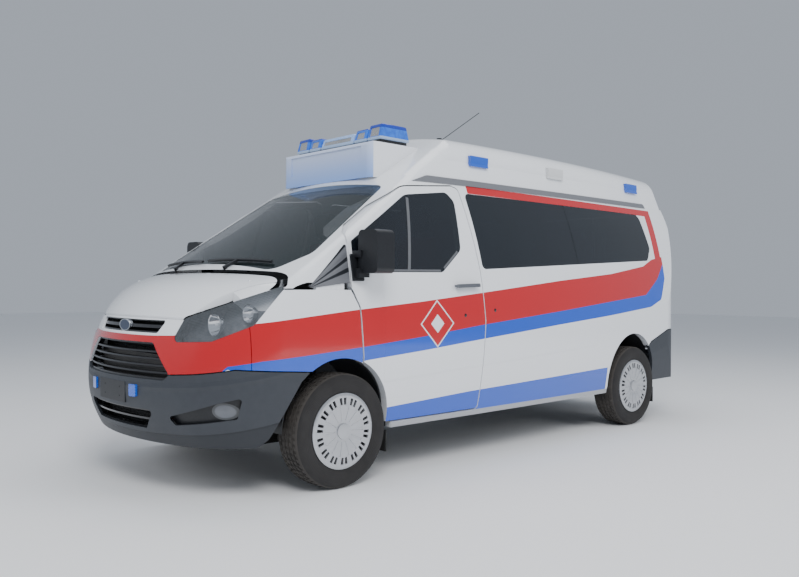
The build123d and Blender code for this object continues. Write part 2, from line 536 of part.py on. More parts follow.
for y in (-300, 300):
    light_bar = light_bar + block((-900, -800), (y - 30, y + 30), (BOX_TOP, BOX_TOP + 30))
write("light_bar", light_bar)
ROOF_LAMPS = [(-1546, -1351, 2085, 2162), (-2508, -2303, 2089, 2175), (-3727, -3532, 2080, 2162)]
lamp_layer = roof_form(-22) - roof_form(0)
roof_lamps = []          # rear, front, low, high
for back, front_x, low, high in ROOF_LAMPS:
    outline = [(back, low, 0), (front_x, low, 0), (front_x, high, 0), (back, high, 0)]
    roof_lamps.append(lamp_layer & side_prism(outline, LEFT))
write("roof_lamps", *roof_lamps, *[mirror_y(lamp) for lamp in roof_lamps])
AERIAL = ((-1345, 450, 2300), (-1800, 450, 2588))
foot, tip = [Vector(*end) for end in AERIAL]
whip = Solid.make_cylinder(3, (tip - foot).length, Plane(foot, z_dir=tip - foot))
write("antenna", (whip + upright(foot.X, foot.Y, 20, (foot.Z - 10, foot.Z + 25))) - roof)
WIPERS = [((-640, 120), (-40, 70), (-330, 15)), ((20, 80), (640, 130), (300, 15))]
wiper_layer = screen_form(-20) - screen_form(-6)
wipers = []              # blade ends, pivot: (y, distance up the screen)
for start, end, pivot in WIPERS:
    along = Vector(*end) - Vector(*start)
    side = Vector(-along.Y, along.X).normalized()
    blade = [Vector(*start) + side * 8, Vector(*start) - side * 8, Vector(*end) - side * 8, Vector(*end) + side * 8]
    middle_of = (Vector(*start) + Vector(*end)) / 2
    arm = [Vector(*pivot) - Vector(12, 0), Vector(*pivot) + Vector(12, 0), middle_of + Vector(9, 0), middle_of - Vector(9, 0)]
    wiper = None
    for points in (blade, arm):
        face = SCREEN_PLANE * make_face(Polyline(*[(p.X, p.Y) for p in points], close=True))
        part = wiper_layer & extrude(Pos(SCREEN_OUT * -300) * face, amount=500, dir=SCREEN_OUT)
        wiper = part if wiper is None else wiper + part
    hub = SCREEN_PLANE * (Pos(*pivot, -100) * Cylinder(14, 400))
    wipers.append(wiper + ((screen_form(-20) - screen_form(0)) & hub))
write("wipers", *wipers)

# --- rear bumper and mud flaps ---
cap = ((hull(-2, 300, 900) & rear_form(-2)) - (hull(SKIN, 200, 1000) & rear_form(SKIN))) & side_prism(CAP, LEFT)
cap = cap - arch_foot(1) - block((-4400, -3950), BOTH, (REAR_SILL - 10, 900)) & block((-5000, 0), LEFT, (0, 900))
caps_high = ((hull(-2, 300, 900) & rear_form(-2)) - (hull(SKIN, 200, 1000) & rear_form(SKIN))) & side_prism(CAP, LEFT)
caps_high = caps_high & block((-4400, -3600), (REAR_HINGE_Y + 8, 1100), (REAR_SILL - 20, 900))
cap = cap + (caps_high - arch_foot(1))
step = (rear_form(REAR_X - DOOR_FACE) - rear_form(SKIN)) & block((-4400, -4000), (-760, 760), (395, 590))
write("rear_bumper", both(cap) + step)
FLAP = [(700, 300, 0), (700, 428, 0), (835, 428, 0), (835, 300, 0), (930, 300, 0), (930, 165, 0), (700, 165, 0)]
LINER = (2, 8)           # how far a liner's two faces stand outside the arch
flaps = []
for x, z in ARCHES:
    edge = x - ARCH_R - LINER[1] - 0.6
    flaps.append(extrude(Pos(edge - 8, 0, 0) * rounded(FLAP, Plane.YZ), amount=8, dir=(1, 0, 0)))
write("mud_flaps", *flaps, *[mirror_y(flap) for flap in flaps])

# --- floors, liners and cab ---
FIREWALL = [(-445, 430, 0), (-405, 430, 0), (-205, 700, 0), (-160, 1180, 0), (60, 1215, 0), (60, 1245, 0),
            (-195, 1212, 0), (-240, 706, 0)]
inside = hull(WALL + GAP, SILL_Z - 60, GUTTER_Z)
liner_cut = arch(0, LINER[1] + FIT) & both(block((-500, 500), (MIDDLE[1], 1200), (0, 1000)))
cab_floor = (block((-1290, -300), BOTH, (430, 470)) + side_prism(FIREWALL, BOTH)) & inside
sills = (inside - hull(WALL + 45, SILL_Z - 80, GUTTER_Z)) & block((-1250, -420), BOTH, (340, 440))
seats_low = hull(WALL + FIT, SILL_Z - 60, 700) - hull(WALL + 45, SILL_Z - 80, 800)
sills = sills + (seats_low & block((-1250, -420), BOTH, (SILL_Z + 2, 344)))
cab_floor = (cab_floor + sills + both(bonnet_lugs)) - liner_cut
write("cab_floor", cab_floor)
house_cut = arch(1, LINER[1] + FIT) & both(block((-3900, -2700), (632 - FIT, 1200), (0, 1000)))
load_floor = block((-4180, -1290 - FIT), BOTH, (520, 560)) & hull(WALL + FIT, SILL_Z - 60, GUTTER_Z)
load_floor = load_floor & rear_form(WALL + FIT)
sliding_clear = block((-2530, -1290), (-1300, -600), (500, 600)) - hull(WALL + GAP, SILL_Z - 60, GUTTER_Z)
write("load_floor", load_floor - house_cut - sliding_clear)
front_ring = (arch(0, LINER[1]) - arch(0, LINER[0])) & block((-500, 500), (MIDDLE[1], 1200), (360, 900))
liner = front_ring & block((-130, 500), LEFT, (0, 900)) & nose(SKIN + FIT, SKIN)
liner = liner + (front_ring & block((-500, -130), LEFT, (0, 900)) & inside)
house = (arch(1, LINER[1]) - arch(1, LINER[0])) & block((-3900, -2700), (632, 1200), (400, 900))
house = house + (arch(1, LINER[1]) & block((-3900, -2700), (632, 640), (400, 900)))
house = house & hull(WALL + FIT, SILL_Z - 60, GUTTER_Z)
write("arch_liners", liner, mirror_y(liner), house, mirror_y(house))
DASH = [(-225, 940, 0), (-345, 960, 30), (-385, 1140, 50), (-300, 1264, 60), (70, 1292, 10), (70, 1215, 0),
        (-100, 1100, 0)]
dash = side_prism(DASH, BOTH) - side_prism(FIREWALL, BOTH, FIT) - both(block((30, 100), (670, 730), (1208, 1252)))
dash = max((dash & block((-600, 200), (-790, 790), (700, 1500))).solids(), key=lambda s: s.volume)
write("dashboard", dash)
WHEEL_AT = Plane(origin=(-455, 400, 1150), x_dir=(0, 1, 0), z_dir=(0.9, 0, -0.44))
rim = revolve(Plane.XZ * (Pos(190, 0) * RegularPolygon(14, 6)), Axis.Z)
steering = WHEEL_AT * rim + WHEEL_AT * Cylinder(50, 40) + WHEEL_AT * (Pos(0, 0, 70) * Cylinder(28, 140))
for turn in (0, 120, 240):
    steering = steering + WHEEL_AT * (Rot(0, 0, turn + 30) * (Pos(95, 0, 0) * Box(185, 32, 12)))
write("steering_wheel", steering - dash)
SEAT_Y = 520
BACK = [(-1045, 900, 40), (-1165, 1590, 40), (-1270, 1585, 50), (-1180, 800, 30), (-1060, 800, 0)]
seat = block((-1060, -600), (SEAT_Y - 190, SEAT_Y + 190), (470 + FIT, 820))
cushion = side_prism([(-1120, 800, 0), (-1120, 940, 20), (-555, 940, 40), (-555, 800, 40)], (SEAT_Y - 240, SEAT_Y + 240))
back = side_prism(BACK, (SEAT_Y - 230, SEAT_Y + 230))
headrest = side_prism([(-1170, 1560, 0), (-1185, 1795, 35), (-1265, 1790, 35), (-1250, 1560, 0)],
                      (SEAT_Y - 110, SEAT_Y + 110))
seat = seat + cushion + back + headrest
write("seats", seat, mirror_y(seat))

# --- chassis ---
RAIL_Y = (440, 500)
RAIL_LINE = [(800 - FIT, 350, 0), (800 - FIT, 430 - FIT, 0), (-1310, 430 - FIT, 0), (-1400, 520 - FIT, 0),
             (DOOR_FACE + SKIN + FIT, 520 - FIT, 0), (DOOR_FACE + SKIN + FIT, 440, 0), (-1430, 440, 0),
             (-1340, 350, 0)]
SPRING_X = (-WHEELBASE - 620, -WHEELBASE + 620)
rails = both(side_prism(RAIL_LINE, RAIL_Y))
for x in (-1700, -2560, -4080):
    rails = rails + block((x, x + 60), (-RAIL_Y[0] - 20, RAIL_Y[0] + 20), (450, 510))
for x in SPRING_X:
    rails = rails + both(block((x - 25, x + 25), RAIL_Y, (425 + FIT, 450)))
rails = rails + both(block((420, 500), (300 + FIT, RAIL_Y[0] + 10), (370, 410)))
write("chassis", rails)
write("engine", block((180, 750), (-300, 300), (330, 930)), block((800, 840), (-480, 480), (400, 800)))
ARM_Z = (240, 270)
LINK_Z = (455, 480)
subframe = block((-60, 300), (-500, 500), (230, 290)) + both(block((60, 180), RAIL_Y, (280, 350 - FIT)))
KINGPIN_R = 18
pin_y = FRONT_TRACK / 2
arm_plan = Plane.XY * make_face(Polyline(
    (-120, 500 + FIT), (150, 500 + FIT), (50, 580), (25, 700), (25, pin_y), (-25, pin_y), (-25, 700), (-50, 580),
    close=True))
bore = upright(0, pin_y, KINGPIN_R + 0.05, (0, 900))
lower_arm = (plan_prism(arm_plan, *ARM_Z) + upright(0, pin_y, 30, ARM_Z)) - bore
strut = block((-22, 22), (640, pin_y), LINK_Z) + upright(0, pin_y, 30, LINK_Z)
strut = (strut + upright(0, 640, 28, (LINK_Z[0], 775))) - bore
rack = Pos(-60 - 25 - FIT, 0, 300) * Rot(90, 0, 0) * Cylinder(25, 760)
write("front_suspension", subframe, rack, *[f(s) for s in (lower_arm, strut) for f in (lambda s: s, mirror_y)])
knuckle = block((-42, 42), (pin_y - 38, pin_y + 27), (ARM_Z[1] + FIT, LINK_Z[0] - FIT))
knuckle = knuckle + upright(0, pin_y, KINGPIN_R, (ARM_Z[0] - 5, LINK_Z[1] + 5))
knuckle = knuckle + Pos(0, pin_y + 33, TYRE_R) * Rot(90, 0, 0) * Cylinder(STUB_R, 66)
write("knuckle_left", knuckle)
write("knuckle_right", mirror_y(knuckle))
hub_y = REAR_TRACK / 2
beam = Pos(-WHEELBASE, 0, TYRE_R) * Rot(90, 0, 0) * (Cylinder(45, 2 * hub_y + 60) + Cylinder(STUB_R, 2 * hub_y + 132))
SPRING = ((-620, 396), (0, TYRE_R + 45 + FIT), (620, 396))       # underside, from the axle's station
low_arc = [(-WHEELBASE + x, z) for x, z in SPRING]
high_arc = [(x, z + 29) for x, z in low_arc]
spring_face = Plane.XZ * make_face(Curve() + [
    ThreePointArc(*low_arc), Line(low_arc[2], high_arc[2]), ThreePointArc(*high_arc[::-1]),
    Line(high_arc[0], low_arc[0])])
spring = extrude(Pos(0, RAIL_Y[0], 0) * spring_face, amount=RAIL_Y[1] - RAIL_Y[0], dir=(0, 1, 0))
write("rear_suspension", beam, spring, mirror_y(spring))

# --- wheels ---
HALF = TYRE_W / 2
TYRE = [(RIM_R + 0.5, HALF - 21), (222, HALF - 19.5), (256, HALF - 2), (300, HALF), (331, HALF - 13), (TYRE_R, HALF - 27)]
RIM_IN, RIM_WIDE = 188, 90
WHEEL = [(STUB_R + 0.05, 40), (RIM_IN, 40), (RIM_IN, -RIM_WIDE), (RIM_R, -RIM_WIDE), (RIM_R, RIM_WIDE - 1),
         (227, RIM_WIDE + 1.5), (227, RIM_WIDE + 4), (168, 97), (45, 92), (40, 101), (0, 101), (0, 68),
         (STUB_R + 0.05, 68)]
for axle, x, track in (("front", 0, FRONT_TRACK), ("rear", -WHEELBASE, REAR_TRACK)):
    tyre = lathe(TYRE + [(r, -o) for r, o in TYRE[::-1]], (x, track / 2, TYRE_R))
    wheel = lathe(WHEEL, (x, track / 2, TYRE_R))
    write(f"tyre_{axle}_left", tyre)
    write(f"tyre_{axle}_right", mirror_y(tyre))
    write(f"wheel_{axle}_left", wheel)
    write(f"wheel_{axle}_right", mirror_y(wheel))
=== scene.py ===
import math
import bpy
import bmesh
from mathutils import Matrix, Vector


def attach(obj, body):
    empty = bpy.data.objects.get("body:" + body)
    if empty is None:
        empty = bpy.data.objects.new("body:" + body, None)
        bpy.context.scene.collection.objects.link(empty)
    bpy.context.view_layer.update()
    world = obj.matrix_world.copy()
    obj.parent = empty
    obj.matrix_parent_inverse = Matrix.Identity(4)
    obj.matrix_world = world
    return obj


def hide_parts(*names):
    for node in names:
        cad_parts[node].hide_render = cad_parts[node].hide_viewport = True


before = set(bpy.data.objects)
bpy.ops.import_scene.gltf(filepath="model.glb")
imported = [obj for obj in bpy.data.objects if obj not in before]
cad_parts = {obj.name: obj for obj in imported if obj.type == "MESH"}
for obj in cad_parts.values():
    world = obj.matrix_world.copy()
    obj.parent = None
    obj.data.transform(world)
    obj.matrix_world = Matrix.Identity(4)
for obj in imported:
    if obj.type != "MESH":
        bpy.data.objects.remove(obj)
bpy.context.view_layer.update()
print("frame loaded")


# small helpers
def clearSelection():
    if bpy.context.object and bpy.context.object.mode != "OBJECT":
        bpy.ops.object.mode_set(mode="OBJECT")
    bpy.ops.object.select_all(action="DESELECT")


def nameIt(name):
    obj = bpy.context.object
    obj.name = name
    obj.data.name = name
    return obj


def finishPiece(obj, material, body, angle=35):
    clearSelection()
    obj.select_set(True)
    bpy.context.view_layer.objects.active = obj
    bpy.ops.object.transform_apply(location=True, rotation=True, scale=True)
    bpy.ops.object.shade_smooth_by_angle(angle=math.radians(angle))
    if not obj.data.materials:
        obj.data.materials.append(material)
    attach(obj, body)
    return obj


def editAll():
    bpy.ops.object.mode_set(mode="EDIT")
    bpy.ops.mesh.select_mode(type="FACE")
    bpy.ops.mesh.select_all(action="SELECT")


def outward():
    bpy.ops.mesh.select_all(action="SELECT")
    bpy.ops.mesh.normals_make_consistent(inside=False)
    bpy.ops.object.mode_set(mode="OBJECT")


def applyAll(obj):
    bpy.context.view_layer.objects.active = obj
    for mod in list(obj.modifiers):
        bpy.ops.object.modifier_apply(modifier=mod.name)


def softBlock(name, low, high, bevel, cuts=0):
    # A box between two corners with rounded edges, as a start for shaping.
    clearSelection()
    middle = [(a + b) / 2 for a, b in zip(low, high)]
    bpy.ops.mesh.primitive_cube_add(size=1, location=middle, scale=[b - a for a, b in zip(low, high)])
    obj = nameIt(name)
    bpy.ops.object.transform_apply(location=True, rotation=True, scale=True)
    editAll()
    if cuts:
        bpy.ops.mesh.subdivide(number_cuts=cuts)
    bpy.ops.object.mode_set(mode="OBJECT")
    if bevel:
        mod = obj.modifiers.new("round", "BEVEL")
        mod.width = bevel
        mod.segments = 3
        mod.limit_method = "ANGLE"
        applyAll(obj)
    return obj


def turned(name, centre, profile, segments, side=1, axis="Y", closed=True):
    # Rings (radius, offset outwards) joined one after the other round an axis through centre.
    clearSelection()
    turn = (math.radians(-90) * side, 0, 0) if axis == "Y" else (0, math.radians(90) * side, 0)
    along = (0, side, 0) if axis == "Y" else (side, 0, 0)
    radius, offset = profile[0]
    start = [c + offset * a for c, a in zip(centre, along)]
    bpy.ops.mesh.primitive_circle_add(
        vertices=segments, radius=radius, location=start, rotation=turn, fill_type="NOTHING")
    obj = nameIt(name)
    bpy.ops.object.transform_apply(location=True, rotation=True, scale=True)
    bpy.ops.object.mode_set(mode="EDIT")
    bpy.ops.mesh.select_mode(type="VERT")
    bpy.ops.mesh.select_all(action="SELECT")
    for r, o in profile[1:]:
        step = o - offset
        bpy.ops.mesh.extrude_region_move(TRANSFORM_OT_translate={"value": [step * a for a in along]})
        k = r / radius
        bpy.ops.transform.resize(value=[1 if a else k for a in along])
        radius, offset = r, o
    bpy.ops.mesh.select_all(action="SELECT")
    bpy.ops.mesh.remove_doubles(threshold=0.0001)
    if not closed:
        bpy.ops.mesh.select_mode(type="VERT")
        bpy.ops.mesh.select_non_manifold(extend=False)
        bpy.ops.mesh.fill_holes(sides=segments)
    outward()
    return obj


# node helpers
def newMaterial(name, roughness=0.5, metallic=0.0, coat=0.0):
    mat = bpy.data.materials.new(name)
    mat.use_nodes = True
    tree = mat.node_tree
    shader = tree.nodes["Principled BSDF"]
    shader.inputs["Roughness"].default_value = roughness
    shader.inputs["Metallic"].default_value = metallic
    shader.inputs["Coat Weight"].default_value = coat
    coords = tree.nodes.new("ShaderNodeTexCoord")
    return mat, tree, shader, coords.outputs["Object"]


def calc(tree, operation, *values):
    node = tree.nodes.new("ShaderNodeMath")
    node.operation = operation
    for i, value in enumerate(values):
        if hasattr(value, "links"):
            tree.links.new(value, node.inputs[i])
        else:
            node.inputs[i].default_value = value
    return node.outputs[0]


def noiseOf(tree, coords, scale, detail=4):
    node = tree.nodes.new("ShaderNodeTexNoise")
    node.inputs["Scale"].default_value = scale
    node.inputs["Detail"].default_value = detail
    tree.links.new(coords, node.inputs["Vector"])
    return node.outputs["Fac"]


def mixColour(tree, factor, first, second):
    node = tree.nodes.new("ShaderNodeMix")
    node.data_type = "RGBA"
    if hasattr(factor, "links"):
        tree.links.new(factor, node.inputs[0])
    else:
        node.inputs[0].default_value = factor
    for value, i in ((first, 6), (second, 7)):
        if hasattr(value, "links"):
            tree.links.new(value, node.inputs[i])
        else:
            node.inputs[i].default_value = (*value, 1)
    return node.outputs[2]


def bumpFrom(tree, shader, height, strength, distance):
    node = tree.nodes.new("ShaderNodeBump")
    node.inputs["Strength"].default_value = strength
    node.inputs["Distance"].default_value = distance
    tree.links.new(height, node.inputs["Height"])
    tree.links.new(node.outputs["Normal"], shader.inputs["Normal"])


def splitXYZ(tree, coords):
    node = tree.nodes.new("ShaderNodeSeparateXYZ")
    tree.links.new(coords, node.inputs[0])
    return node.outputs


def grained(name, colour, second, scale, roughness, grain=0.3, metallic=0.0, coat=0.0):
    # A material whose colour and roughness drift a little, with a fine grain.
    mat, tree, shader, coords = newMaterial(name, roughness, metallic, coat)
    drift = noiseOf(tree, coords, scale * 0.05)
    tree.links.new(mixColour(tree, drift, colour, second), shader.inputs["Base Color"])
    fine = noiseOf(tree, coords, scale, 6)
    rough = calc(tree, "MULTIPLY_ADD", fine, 0.16, roughness - 0.08)
    tree.links.new(rough, shader.inputs["Roughness"])
    bumpFrom(tree, shader, fine, grain, 0.0006)
    return mat


# body paint with its stripes
livery = {
    "white": (0.82, 0.84, 0.87), "red": (0.50, 0.0, 0.004), "blue": (0.0, 0.075, 0.56), "sill": (0.36, 0.37, 0.39),
    "sillTop": 0.347, "sillRun": (-1.24, 1.32), "sideStart": -2.262, "flank": 0.9,
    "roofRun": (-2.24, 0.386), "roofBand": (1.872, 1.93), "rearPost": (-2.24, -2.13),
    "diamond": (0.858, 0.960), "diamondSizes": [(0.158, "white"), (0.146, "red"), (0.062, "white")],
    "redTop": [(-2.70, 1.56), (-2.056, 1.462), (-1.88, 1.397), (-1.31, 1.32), (-0.55, 1.256), (0.41, 1.162),
               (0.989, 1.107), (1.555, 1.060), (2.06, 1.011), (2.25, 0.991), (2.45, 0.93), (2.56, 0.915),
               (2.70, 0.915)],
    "redBottom": [(-2.70, 1.60), (-2.2625, 1.429), (-2.1175, 1.285), (-1.876, 1.140), (-1.27, 1.086), (-0.52, 1.018),
                  (0.42, 0.938), (0.996, 0.879), (1.486, 0.836), (1.92, 0.804), (2.19, 0.788), (2.38, 0.760),
                  (2.41, 0.60), (2.70, 0.60)],
    "blueBottom": [(-2.70, 1.55), (-2.2575, 1.286), (-2.16, 1.097), (-1.976, 1.033), (-1.26, 0.970), (-0.52, 0.915),
                   (0.42, 0.839), (0.994, 0.789), (1.485, 0.752), (1.56, 0.715), (1.74, 0.700), (2.06, 0.700),
                   (2.24, 0.707), (2.38, 0.752), (2.41, 0.60), (2.70, 0.60)],
    "lowTop": [(-2.70, 0.532), (-1.20, 0.530), (-0.22, 0.503), (0.52, 0.482), (0.97, 0.460), (1.31, 0.443),
               (2.70, 0.43)],
    "halfLength": 2.7, "curveHeight": 2.5,
    "dust": (0.50, 0.48, 0.44), "dustSlope": -1.6, "dustAtGround": 0.85,
    "creaseSlope": -0.05, "creaseHeight": 0.667, "creaseRun": (-1.05, 1.32)}


def edgeCurve(tree, x, points):
    # Height of a stripe's edge along the body, as a curve of straight runs.
    half = livery["halfLength"]
    node = tree.nodes.new("ShaderNodeFloatCurve")
    curve = node.mapping.curves[0]
    while len(curve.points) < len(points):
        curve.points.new(0.5, 0.5)
    for point, (px, pz) in zip(curve.points, points):
        point.location = ((px + half) / (2 * half), pz / livery["curveHeight"])
        point.handle_type = "VECTOR"
    node.mapping.update()
    share = calc(tree, "MULTIPLY_ADD", x, 1 / (2 * half), 0.5)
    tree.links.new(share, node.inputs["Value"])
    return calc(tree, "MULTIPLY", node.outputs[0], livery["curveHeight"])


def between(tree, value, low, high):
    return calc(tree, "MULTIPLY", calc(tree, "GREATER_THAN", value, low), calc(tree, "LESS_THAN", value, high))


def outerFaces(tree, x, y):
    # 1 on panels that face out to a side, or forwards on the nose; 0 on their inner skins.
    facing = tree.nodes.new("ShaderNodeNewGeometry")
    turn = tree.nodes.new("ShaderNodeVectorTransform")
    turn.vector_type = "NORMAL"
    turn.convert_from = "WORLD"
    turn.convert_to = "OBJECT"
    tree.links.new(facing.outputs["True Normal"], turn.inputs[0])
    nx, ny, nz = splitXYZ(tree, turn.outputs[0])
    toSide = calc(tree, "MULTIPLY", ny, calc(tree, "SIGN", y))
    toFront = calc(tree, "MULTIPLY", nx, calc(tree, "GREATER_THAN", x, 1.6))
    flipped = calc(tree, "MULTIPLY_ADD", facing.outputs["Backfacing"], -2.0, 1.0)
    return calc(tree, "GREATER_THAN", calc(tree, "MULTIPLY", calc(tree, "MAXIMUM", toSide, toFront), flipped), 0.03)


def makePaint(name, striped):
    mat, tree, shader, coords = newMaterial(name, 0.28, 0.0, 1.0)
    shader.inputs["Coat Roughness"].default_value = 0.04
    x, y, z = splitXYZ(tree, coords)
    dust = noiseOf(tree, coords, 2.3)
    low = calc(tree, "MULTIPLY_ADD", z, livery["dustSlope"], livery["dustAtGround"])
    low = calc(tree, "MULTIPLY", calc(tree, "MAXIMUM", low, 0.0), dust)
    colour = mixColour(tree, calc(tree, "MULTIPLY", low, 0.35), livery["white"], livery["dust"])
    if striped:
        redTop, redBottom = edgeCurve(tree, x, livery["redTop"]), edgeCurve(tree, x, livery["redBottom"])
        blueBottom, lowTop = edgeCurve(tree, x, livery["blueBottom"]), edgeCurve(tree, x, livery["lowTop"])
        outer = outerFaces(tree, x, y)
        onSide = calc(tree, "MULTIPLY", calc(tree, "GREATER_THAN", x, livery["sideStart"]), outer)
        lowRun = calc(tree, "MULTIPLY", between(tree, x, *livery["sillRun"]), outer)
        lower = calc(tree, "MULTIPLY", between(tree, z, livery["sillTop"], lowTop), lowRun)
        blue = calc(tree, "MULTIPLY", between(tree, z, blueBottom, redBottom), onSide)
        colour = mixColour(tree, calc(tree, "MAXIMUM", lower, blue), colour, livery["blue"])
        red = calc(tree, "MULTIPLY", between(tree, z, redBottom, redTop), onSide)
        roofLow, roofHigh = livery["roofBand"]
        roofRun = between(tree, x, *livery["roofRun"])
        roofBand = calc(tree, "MULTIPLY", between(tree, z, roofLow, roofHigh), roofRun)
        post = between(tree, z, redBottom, roofHigh)
        upright = calc(tree, "MULTIPLY", between(tree, x, *livery["rearPost"]), post)
        frameBand = calc(tree, "MULTIPLY", calc(tree, "MAXIMUM", roofBand, upright), outer)
        red = calc(tree, "MAXIMUM", red, frameBand)
        colour = mixColour(tree, red, colour, livery["red"])
        # white-edged diamond on the front door
        middleX, middleZ = livery["diamond"]
        across = calc(tree, "ABSOLUTE", calc(tree, "SUBTRACT", x, middleX))
        up = calc(tree, "ABSOLUTE", calc(tree, "SUBTRACT", z, middleZ))
        reach = calc(tree, "ADD", across, up)
        wide = calc(tree, "GREATER_THAN", calc(tree, "ABSOLUTE", y), livery["flank"])
        onFlank = calc(tree, "MULTIPLY", wide, outer)
        for size, paint in livery["diamondSizes"]:
            inside = calc(tree, "MULTIPLY", calc(tree, "LESS_THAN", reach, size), onFlank)
            colour = mixColour(tree, inside, colour, livery[paint])
        strip = calc(tree, "MULTIPLY", calc(tree, "LESS_THAN", z, livery["sillTop"]), outer)
        colour = mixColour(tree, strip, colour, livery["sill"])
    tree.links.new(colour, shader.inputs["Base Color"])
    peel = noiseOf(tree, coords, 160, 2)
    # low crease along the door and side
    line = calc(tree, "MULTIPLY_ADD", x, livery["creaseSlope"], livery["creaseHeight"])
    rise = calc(tree, "MAXIMUM", calc(tree, "SUBTRACT", z, line), 0.0)
    crease = calc(tree, "SMOOTH_MIN", calc(tree, "MULTIPLY", rise, 60), 1.0, 0.3)
    crease = calc(tree, "MULTIPLY", crease, between(tree, x, *livery["creaseRun"]))
    height = calc(tree, "MULTIPLY_ADD", peel, 0.05, calc(tree, "MULTIPLY", crease, 0.7 if striped else 0.0))
    bumpFrom(tree, shader, height, 0.7, 0.004)
    rough = calc(tree, "MULTIPLY_ADD", low, 0.5, 0.26)
    tree.links.new(rough, shader.inputs["Roughness"])
    return mat


stripedPaint = makePaint("stripedPaint", True)
whitePaint = makePaint("whitePaint", False)


screenBorder = {"slope": -0.336, "halfAtGround": 1.283, "top": 1.885}


def makeGlass(name, colour, alpha, border=False):
    mat, tree, shader, coords = newMaterial(name, 0.03, 0.0, 0.6)
    x, y, z = splitXYZ(tree, coords)
    smear = noiseOf(tree, coords, 3.1)
    tree.links.new(mixColour(tree, smear, colour, tuple(c * 0.7 for c in colour)), shader.inputs["Base Color"])
    tree.links.new(calc(tree, "MULTIPLY_ADD", smear, 0.05, 0.01), shader.inputs["Roughness"])
    shader.inputs["Alpha"].default_value = alpha
    if border:    # the printed black edge of the windscreen
        edge = calc(tree, "MULTIPLY_ADD", z, screenBorder["slope"], screenBorder["halfAtGround"])
        sides = calc(tree, "GREATER_THAN", calc(tree, "ABSOLUTE", y), edge)
        band = calc(tree, "MAXIMUM", sides, calc(tree, "GREATER_THAN", z, screenBorder["top"]))
        tree.links.new(calc(tree, "MAXIMUM", band, alpha), shader.inputs["Alpha"])
    return mat


windowGlass = makeGlass("windowGlass", (0.010, 0.014, 0.02), 0.8)
screenGlass = makeGlass("screenGlass", (0.012, 0.022, 0.024), 0.5, True)
rearGlass = makeGlass("rearGlass", (0.008, 0.012, 0.018), 0.86)


lampGlassSettings = {"facing": (0.743, 0.669), "brightAbove": 1.06, "brightBehind": 2.18, "steps": 260}


def makeLampGlass():
    # Clear where the lens faces out, a dark moulded bowl where it faces in.
    s = lampGlassSettings
    mat, tree, shader, coords = newMaterial("lampGlass", 0.04, 0.0, 0.5)
    x, y, z = splitXYZ(tree, coords)
    facing = tree.nodes.new("ShaderNodeNewGeometry")
    nx, ny, nz = splitXYZ(tree, facing.outputs["True Normal"])
    outY = calc(tree, "MULTIPLY", ny, calc(tree, "SIGN", y))
    ahead, aside = s["facing"]
    front = calc(tree, "ADD", calc(tree, "MULTIPLY", nx, ahead), calc(tree, "MULTIPLY", outY, aside))
    flipped = calc(tree, "MULTIPLY_ADD", facing.outputs["Backfacing"], -2.0, 1.0)
    front = calc(tree, "GREATER_THAN", calc(tree, "MULTIPLY", front, flipped), 0.25)
    steps = calc(tree, "SINE", calc(tree, "MULTIPLY", calc(tree, "SUBTRACT", x, z), s["steps"]))
    high = calc(tree, "GREATER_THAN", z, s["brightAbove"])
    bright = calc(tree, "MULTIPLY", high, calc(tree, "LESS_THAN", x, s["brightBehind"]))
    bowl = mixColour(tree, noiseOf(tree, coords, 30), (0.03, 0.034, 0.042), (0.15, 0.16, 0.18))
    bowl = mixColour(tree, bright, bowl, (0.62, 0.64, 0.68))
    tree.links.new(mixColour(tree, front, bowl, (0.5, 0.55, 0.6)), shader.inputs["Base Color"])
    tree.links.new(calc(tree, "MULTIPLY_ADD", front, -0.86, 1.0), shader.inputs["Alpha"])
    bumpFrom(tree, shader, calc(tree, "MULTIPLY", steps, calc(tree, "SUBTRACT", 1.0, front)), 0.4, 0.002)
    return mat


lampGlass = makeLampGlass()
blackPlastic = grained("blackPlastic", (0.010, 0.011, 0.013), (0.018, 0.019, 0.022), 380, 0.42, 0.35)
glossBlack = grained("glossBlack", (0.006, 0.006, 0.008), (0.012, 0.012, 0.014), 90, 0.16, 0.05, 0.0, 0.6)
greyTrim = grained("greyTrim", (0.10, 0.105, 0.115), (0.14, 0.145, 0.155), 300, 0.45, 0.3)
steelBlack = grained("steelBlack", (0.012, 0.012, 0.013), (0.03, 0.026, 0.022), 60, 0.5, 0.4, 0.4)
castMetal = grained("castMetal", (0.10, 0.10, 0.105), (0.16, 0.15, 0.14), 90, 0.55, 0.6, 0.8)
flapRubber = grained("flapRubber", (0.016, 0.016, 0.017), (0.028, 0.027, 0.026), 150, 0.75, 0.4)
floorVinyl = grained("floorVinyl", (0.10, 0.11, 0.12), (0.15, 0.155, 0.16), 240, 0.6, 0.4)
cabinPlastic = grained("cabinPlastic", (0.03, 0.031, 0.034), (0.05, 0.05, 0.054), 500, 0.6, 0.5)
silverPaint = grained("silverPaint", (0.50, 0.51, 0.53), (0.58, 0.59, 0.61), 700, 0.33, 0.08, 0.75, 0.3)
chromeTrim = grained("chromeTrim", (0.75, 0.76, 0.78), (0.82, 0.83, 0.85), 200, 0.12, 0.03, 1.0)
# near-black used as painted shade: in the wheel cover openings and in the boxes behind the grilles
shadeBlack = grained("shadeBlack", (0.004, 0.004, 0.005), (0.008, 0.008, 0.009), 80, 0.8, 0.2)


lensSettings = {"flutes": 330, "bands": 420, "clearRun": (-0.95, -0.60), "clear": (0.60, 0.61, 0.62)}


